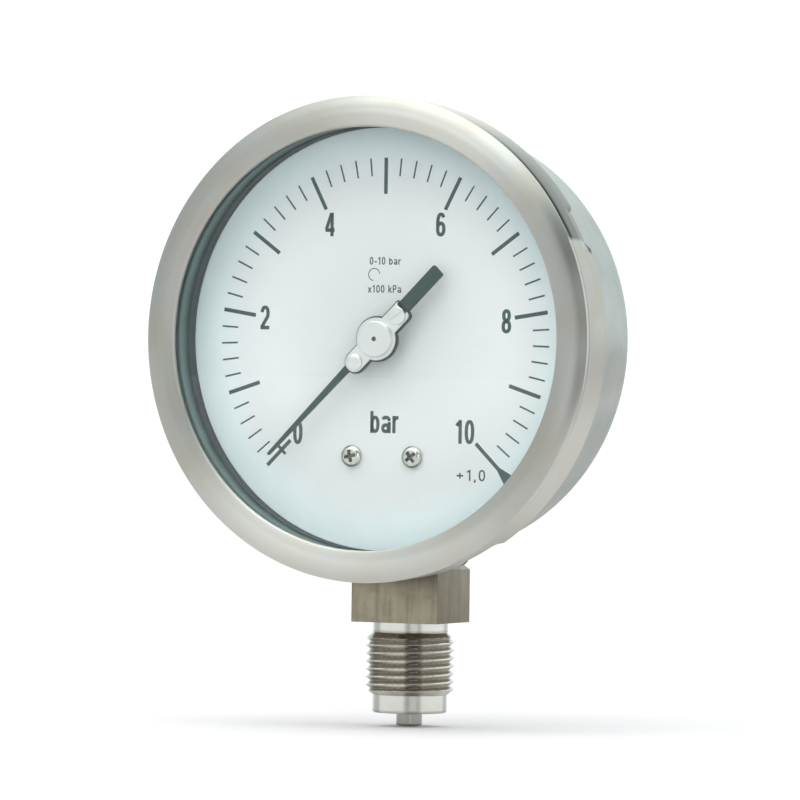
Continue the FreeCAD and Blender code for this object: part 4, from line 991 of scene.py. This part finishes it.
def stem_painted_reflections(x, y, z):
    """Painted dark reflections down the stem, fainter in the grooves, and the pilot darker."""
    degrees = math.degrees(math.atan2(y, x))
    painted_dark = 0.0
    for centre, half in REFLECTION_STREAKS:
        off = abs(away(degrees, centre))
        painted_dark = max(painted_dark, 0.55 * (1 - smooth_step(half - 5, half + 4, off)))
    if 5.0 < z < 18.65:
        deep = 1 - smooth_step(MINOR + 0.1, MAJOR - 0.25, math.hypot(x, y))
        return 0.6 * painted_dark * (1 - 0.3 * deep)
    return max(0.75 * painted_dark, 0.5) if z < -0.1 else 0.75 * painted_dark


def stem_stain(x, y, z):
    """Dried oil in the thread's grooves."""
    if z < 5.4 or z > 18.9:
        return 0.0
    return 0.75 * (1 - smooth_step(MINOR + 0.45, MAJOR - 0.08, math.hypot(x, y)))


def make_stem():
    """Pilot, threaded stretch and neck, up to the wrench block."""
    turns = 240
    pilot = [(-2.0, 1.5), (-3.0, 1.5, 0.15), (-3.0, 3.0, 0.4), (0.0, 3.0, 0.3)]
    low = soften([*pilot, (0.0, 8.7, 0.65), (1.2, 8.7)], 5)
    heights = [1.5 + 0.4 * n for n in range(7)]
    heights += [4.15 + 14.5 * n / 320 for n in range(321)]
    heights += [18.8, 19.4, 20.0, 20.6, 20.9]
    vertices, faces = [], []
    count = len(low) + len(heights) + 1
    for k in range(turns):
        angle = TAU * k / turns
        for z, r in low:
            vertices.append(stem_point(z, r, angle))
        for z in heights:
            vertices.append(stem_point(z, stem_radius(z, angle), angle))
        vertices.append(stem_point(21.05, 8.75, angle))
    for k in range(turns):
        a, b = k * count, (k + 1) % turns * count
        for n in range(count - 1):
            faces.append((a + n, b + n, b + n + 1, a + n + 1))
    marks = {"shade": stem_painted_reflections, "stain": stem_stain}
    put("stem", vertices, faces, STEM_STEEL, "case", ["socket"], "stainless_socket", 50, **marks)


def make_block():
    """Wrench block, wider than deep, with ground faces and chamfered top, and the shank above."""
    mesh = bmesh.new()
    bmesh.ops.create_cube(mesh, size=1.0)
    width, depth, tall = BLOCK_SIZE
    for vertex in mesh.verts:
        x, y, z = vertex.co
        vertex.co = Vector((x * width, y * depth, BLOCK_MIDDLE + z * tall))
    top = [e for e in mesh.edges if all(v.co.z > 34 for v in e.verts)]
    bmesh.ops.bevel(mesh, geom=top, offset=1.2, segments=1, affect="EDGES")
    rest = [e for e in mesh.edges if e.calc_face_angle(0.0) > 0.3]
    bmesh.ops.bevel(mesh, geom=rest, offset=0.12, segments=3, affect="EDGES", profile=0.5)
    mesh.verts.ensure_lookup_table()
    vertices = [tuple(v.co) for v in mesh.verts]
    faces = [[v.index for v in f.verts] for f in mesh.faces]
    mesh.free()
    put("wrench_block", vertices, faces, BLOCK_STEEL, "case", (), "stainless_socket", sharp=40)
    profile = [(34.4, 7.4), (42.5, 7.4), (42.5, 1.5), (34.4, 1.5)]
    put("shank", *spun(profile, 96, stem_point), STEM_STEEL, "case", (), "stainless_socket")
    seal = soften([(34.52, 7.4), (34.52, 10.2, 0.5), (36.62, 10.2, 0.5), (36.62, 7.4)], 5)
    put("stem_seal", *spun(seal, 128, stem_point), RUBBER, "case", ["socket_seal"], "rubber")


# --- back of the case ---


def make_back():
    """Slotted case screws and the blow-out plug."""
    apart, z = CASE_SCREWS
    shank = [(-8.2, 0.02), (-8.2, 1.7, 0.2), (-12.9, 1.7)]
    head = [(-12.9, 3.4, 0.1), (-14.0, 3.4, 0.5), (-14.7, 2.6, 1.0), (-14.7, 0.02)]
    for name, x, turn in (("case_screw_left", -apart, 20.0), ("case_screw_right", apart, 65.0)):
        vertices, faces = spun(soften(shank + head, 5), 64)
        vertices = moved(vertices, x, z)
        both = ["case_screws"] if x < 0 else []
        piece = put(name, vertices, faces, ZINC, "case", both, "zinc")
        cut_by(piece, *blade_cutter(x, z, turn, 4.6, 0.42, -15.4, -13.9))
    plug = soften(
        [
            (-12.1, 0.02), (-12.1, 8.0, 0.2), (-12.9, 8.0), (-12.9, 10.0, 0.3), (-14.1, 10.0, 0.6),
            (-14.4, 8.4, 0.5), (-13.8, 7.8, 0.4), (-13.8, 5.2, 0.4), (-14.3, 4.6, 0.5),
            (-14.3, 0.02),
        ],
        5,
    )
    vertices, faces = spun(plug, 128)
    vertices = moved(vertices, 0.0, PLUG_HEIGHT)
    put("vent_plug", vertices, faces, RUBBER, "case", ["blowout_plug"], "rubber")


def make_tube():
    """Flat-oval Bourdon tube, bent into a C with closed ends."""
    section = arc((-0.4, 38.0), 2.0, 90, -90, 10) + arc((-5.4, 38.0), 2.0, -90, -270, 10)
    rings, count = 141, len(section)
    vertices, faces = [], []
    for n in range(rings):
        angle = math.radians(262.0 - 282.0 * n / (rings - 1))
        vertices += [dial_point(station, radius, angle) for station, radius in section]
    for n in range(rings - 1):
        for k in range(count):
            a, b = n * count + k, n * count + (k + 1) % count
            faces.append((a, b, b + count, a + count))
    faces.append(tuple(range(count)))
    faces.append(tuple(range((rings - 1) * count, rings * count)))
    tube = put("tube", vertices, faces, TUBE_STEEL, None, ["bourdon_tube"], "stainless_tube", 50)
    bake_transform(tube)


# --- CAD nodes that keep their own shape ---

INSIDE = {
    "tube_holder": TUBE_STEEL,
    "dial_posts": BRASS,
    "movement_front_plate": BRASS,
    "movement_back_plate": BRASS,
    "movement_pillars": BRASS,
    "plate_screws": PLAIN_STEEL,
    "movement_screws": PLAIN_STEEL,
    "pinion_arbor": PLAIN_STEEL,
    "hairspring_collet": BRASS,
    "hairspring": SPRING_BRONZE,
    "hairspring_stud": BRASS,
    "sector_gear": BRASS,
    "sector_arbor": PLAIN_STEEL,
    "sector_tail_pin": PLAIN_STEEL,
    "link": BRASS,
    "tube_tip": TUBE_STEEL,
    "tip_pin": PLAIN_STEEL,
}


def finish_inside():
    """Give each CAD node of the movement its material."""
    for name, material in INSIDE.items():
        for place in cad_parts[name].material_slots:
            place.material = material


# --- floor, light and camera ---


def make_floor():
    """Pale floor just under the stem."""
    mesh = bpy.data.meshes.new("floor")
    size, low = 30.0, -0.0032
    corners = [(-size, -size, low), (size, -size, low), (size, size, low), (-size, size, low)]
    mesh.from_pydata(corners, [], [(0, 1, 2, 3)])
    paint = Paint("floor_white", Roughness=0.9)
    speck = paint.noise(paint.position(), 40.0, 3.0)
    paint.give(
        "Base Color",
        paint.mix(paint.between(speck, 0.3, 0.7), colour(0.53, 0.5, 0.5), colour(0.54, 0.51, 0.51)),
    )
    paint.shader.inputs["Emission Color"].default_value = colour(1, 1, 1)
    paint.shader.inputs["Emission Strength"].default_value = 0.1
    mesh.materials.append(paint.material)
    floor = in_scene("floor", mesh)


def make_world():
    """A white studio: brightest overhead, dimmer in front, where the reader stands."""
    world = bpy.data.worlds.new("studio")
    bpy.context.scene.world = world
    world.use_nodes = True
    tree = world.node_tree
    back = tree.nodes["Background"]

    def node(kind, **settings):
        """A new node in the world."""
        return add_node(tree, kind, **settings)

    def toward(direction, low, high, at_low, at_high, squash=1.0):
        """Value that depends on how near a direction is, heights being squashed first."""
        flat = node("VectorMath", operation="MULTIPLY")
        tree.links.new(node("TexCoord").outputs["Generated"], flat.inputs[0])
        flat.inputs[1].default_value = (1.0, 1.0, squash)
        unit = node("VectorMath", operation="NORMALIZE")
        tree.links.new(flat.outputs[0], unit.inputs[0])
        dot = node("VectorMath", operation="DOT_PRODUCT")
        tree.links.new(unit.outputs[0], dot.inputs[0])
        dot.inputs[1].default_value = Vector(direction).normalized()
        ramp = node("MapRange", interpolation_type="SMOOTHSTEP")
        tree.links.new(dot.outputs["Value"], ramp.inputs[0])
        for socket, value in zip(ramp.inputs[1:5], (low, high, at_low, at_high)):
            socket.default_value = value
        return ramp.outputs[0]

    def combined(operation, a, b):
        """One step of arithmetic on two sockets."""
        made = node("Math", operation=operation)
        tree.links.new(a, made.inputs[0])
        tree.links.new(b, made.inputs[1])
        return made.outputs[0]

    overhead = toward((0.0, -0.35, 0.94), 0.45, 0.95, 0.0, 1.8)
    behind = toward((0.43, 0.9, 0.0), -0.6, 1.0, 0.88, 1.45)
    front_gap = toward((0.55, -0.83, 0.0), 0.85, 0.95, 1.0, 0.12, squash=0.5)
    light = combined("MULTIPLY", combined("ADD", overhead, behind), front_gap)
    seen = node("Mix", data_type="FLOAT")
    tree.links.new(node("LightPath").outputs["Is Camera Ray"], seen.inputs[0])
    tree.links.new(light, seen.inputs[2])
    seen.inputs[3].default_value = 1.12
    tree.links.new(seen.outputs[0], back.inputs["Strength"])
    back.inputs["Color"].default_value = (0.93, 1.0, 1.01, 1.0)


def make_lamp(name, place, aim, size, power, tint=(1.0, 1.0, 1.0)):
    """Rectangular lamp at a place, aimed at a point."""
    lamp = bpy.data.lights.new(name, "AREA")
    lamp.shape = "RECTANGLE"
    lamp.size, lamp.size_y = size
    lamp.energy = power
    lamp.color = tint
    holder = in_scene(name, lamp)
    holder.location = place
    holder.rotation_euler = (Vector(aim) - Vector(place)).to_track_quat("-Z", "Y").to_euler()


def make_camera():
    """Camera where the photograph was taken from, with its right, up and back directions."""
    camera = bpy.data.cameras.new("camera")
    camera.lens = 310.0
    camera.sensor_width = 36.0
    camera.clip_start, camera.clip_end = 0.1, 50.0
    holder = in_scene("camera", camera)
    right, up = (0.90285, 0.42975, 0.01344), (-0.01454, -0.00074, 0.99989)
    turn = Matrix((right, up, (0.42971, -0.90294, 0.00559))).transposed().to_4x4()
    holder.matrix_world = Matrix.Translation((0.6841, -1.4447, 0.0814)) @ turn
    bpy.context.scene.camera = holder


make_ring()
make_tabs()
make_case()
make_window()
make_dial()
make_print()
make_dial_screws()
make_pointer()
make_stem()
make_block()
make_back()
make_tube()
finish_inside()
make_floor()
make_world()
make_lamp("key", (-0.25, -1.0, 1.6), (0, 0, 0.08), (1.2, 0.8), 5.2, (1.0, 0.88, 0.8))
make_lamp("fill", (1.3, -1.7, 0.35), (0, 0, 0.08), (0.9, 0.9), 5.0)
make_camera()
bpy.context.scene.view_settings.view_transform = "Standard"
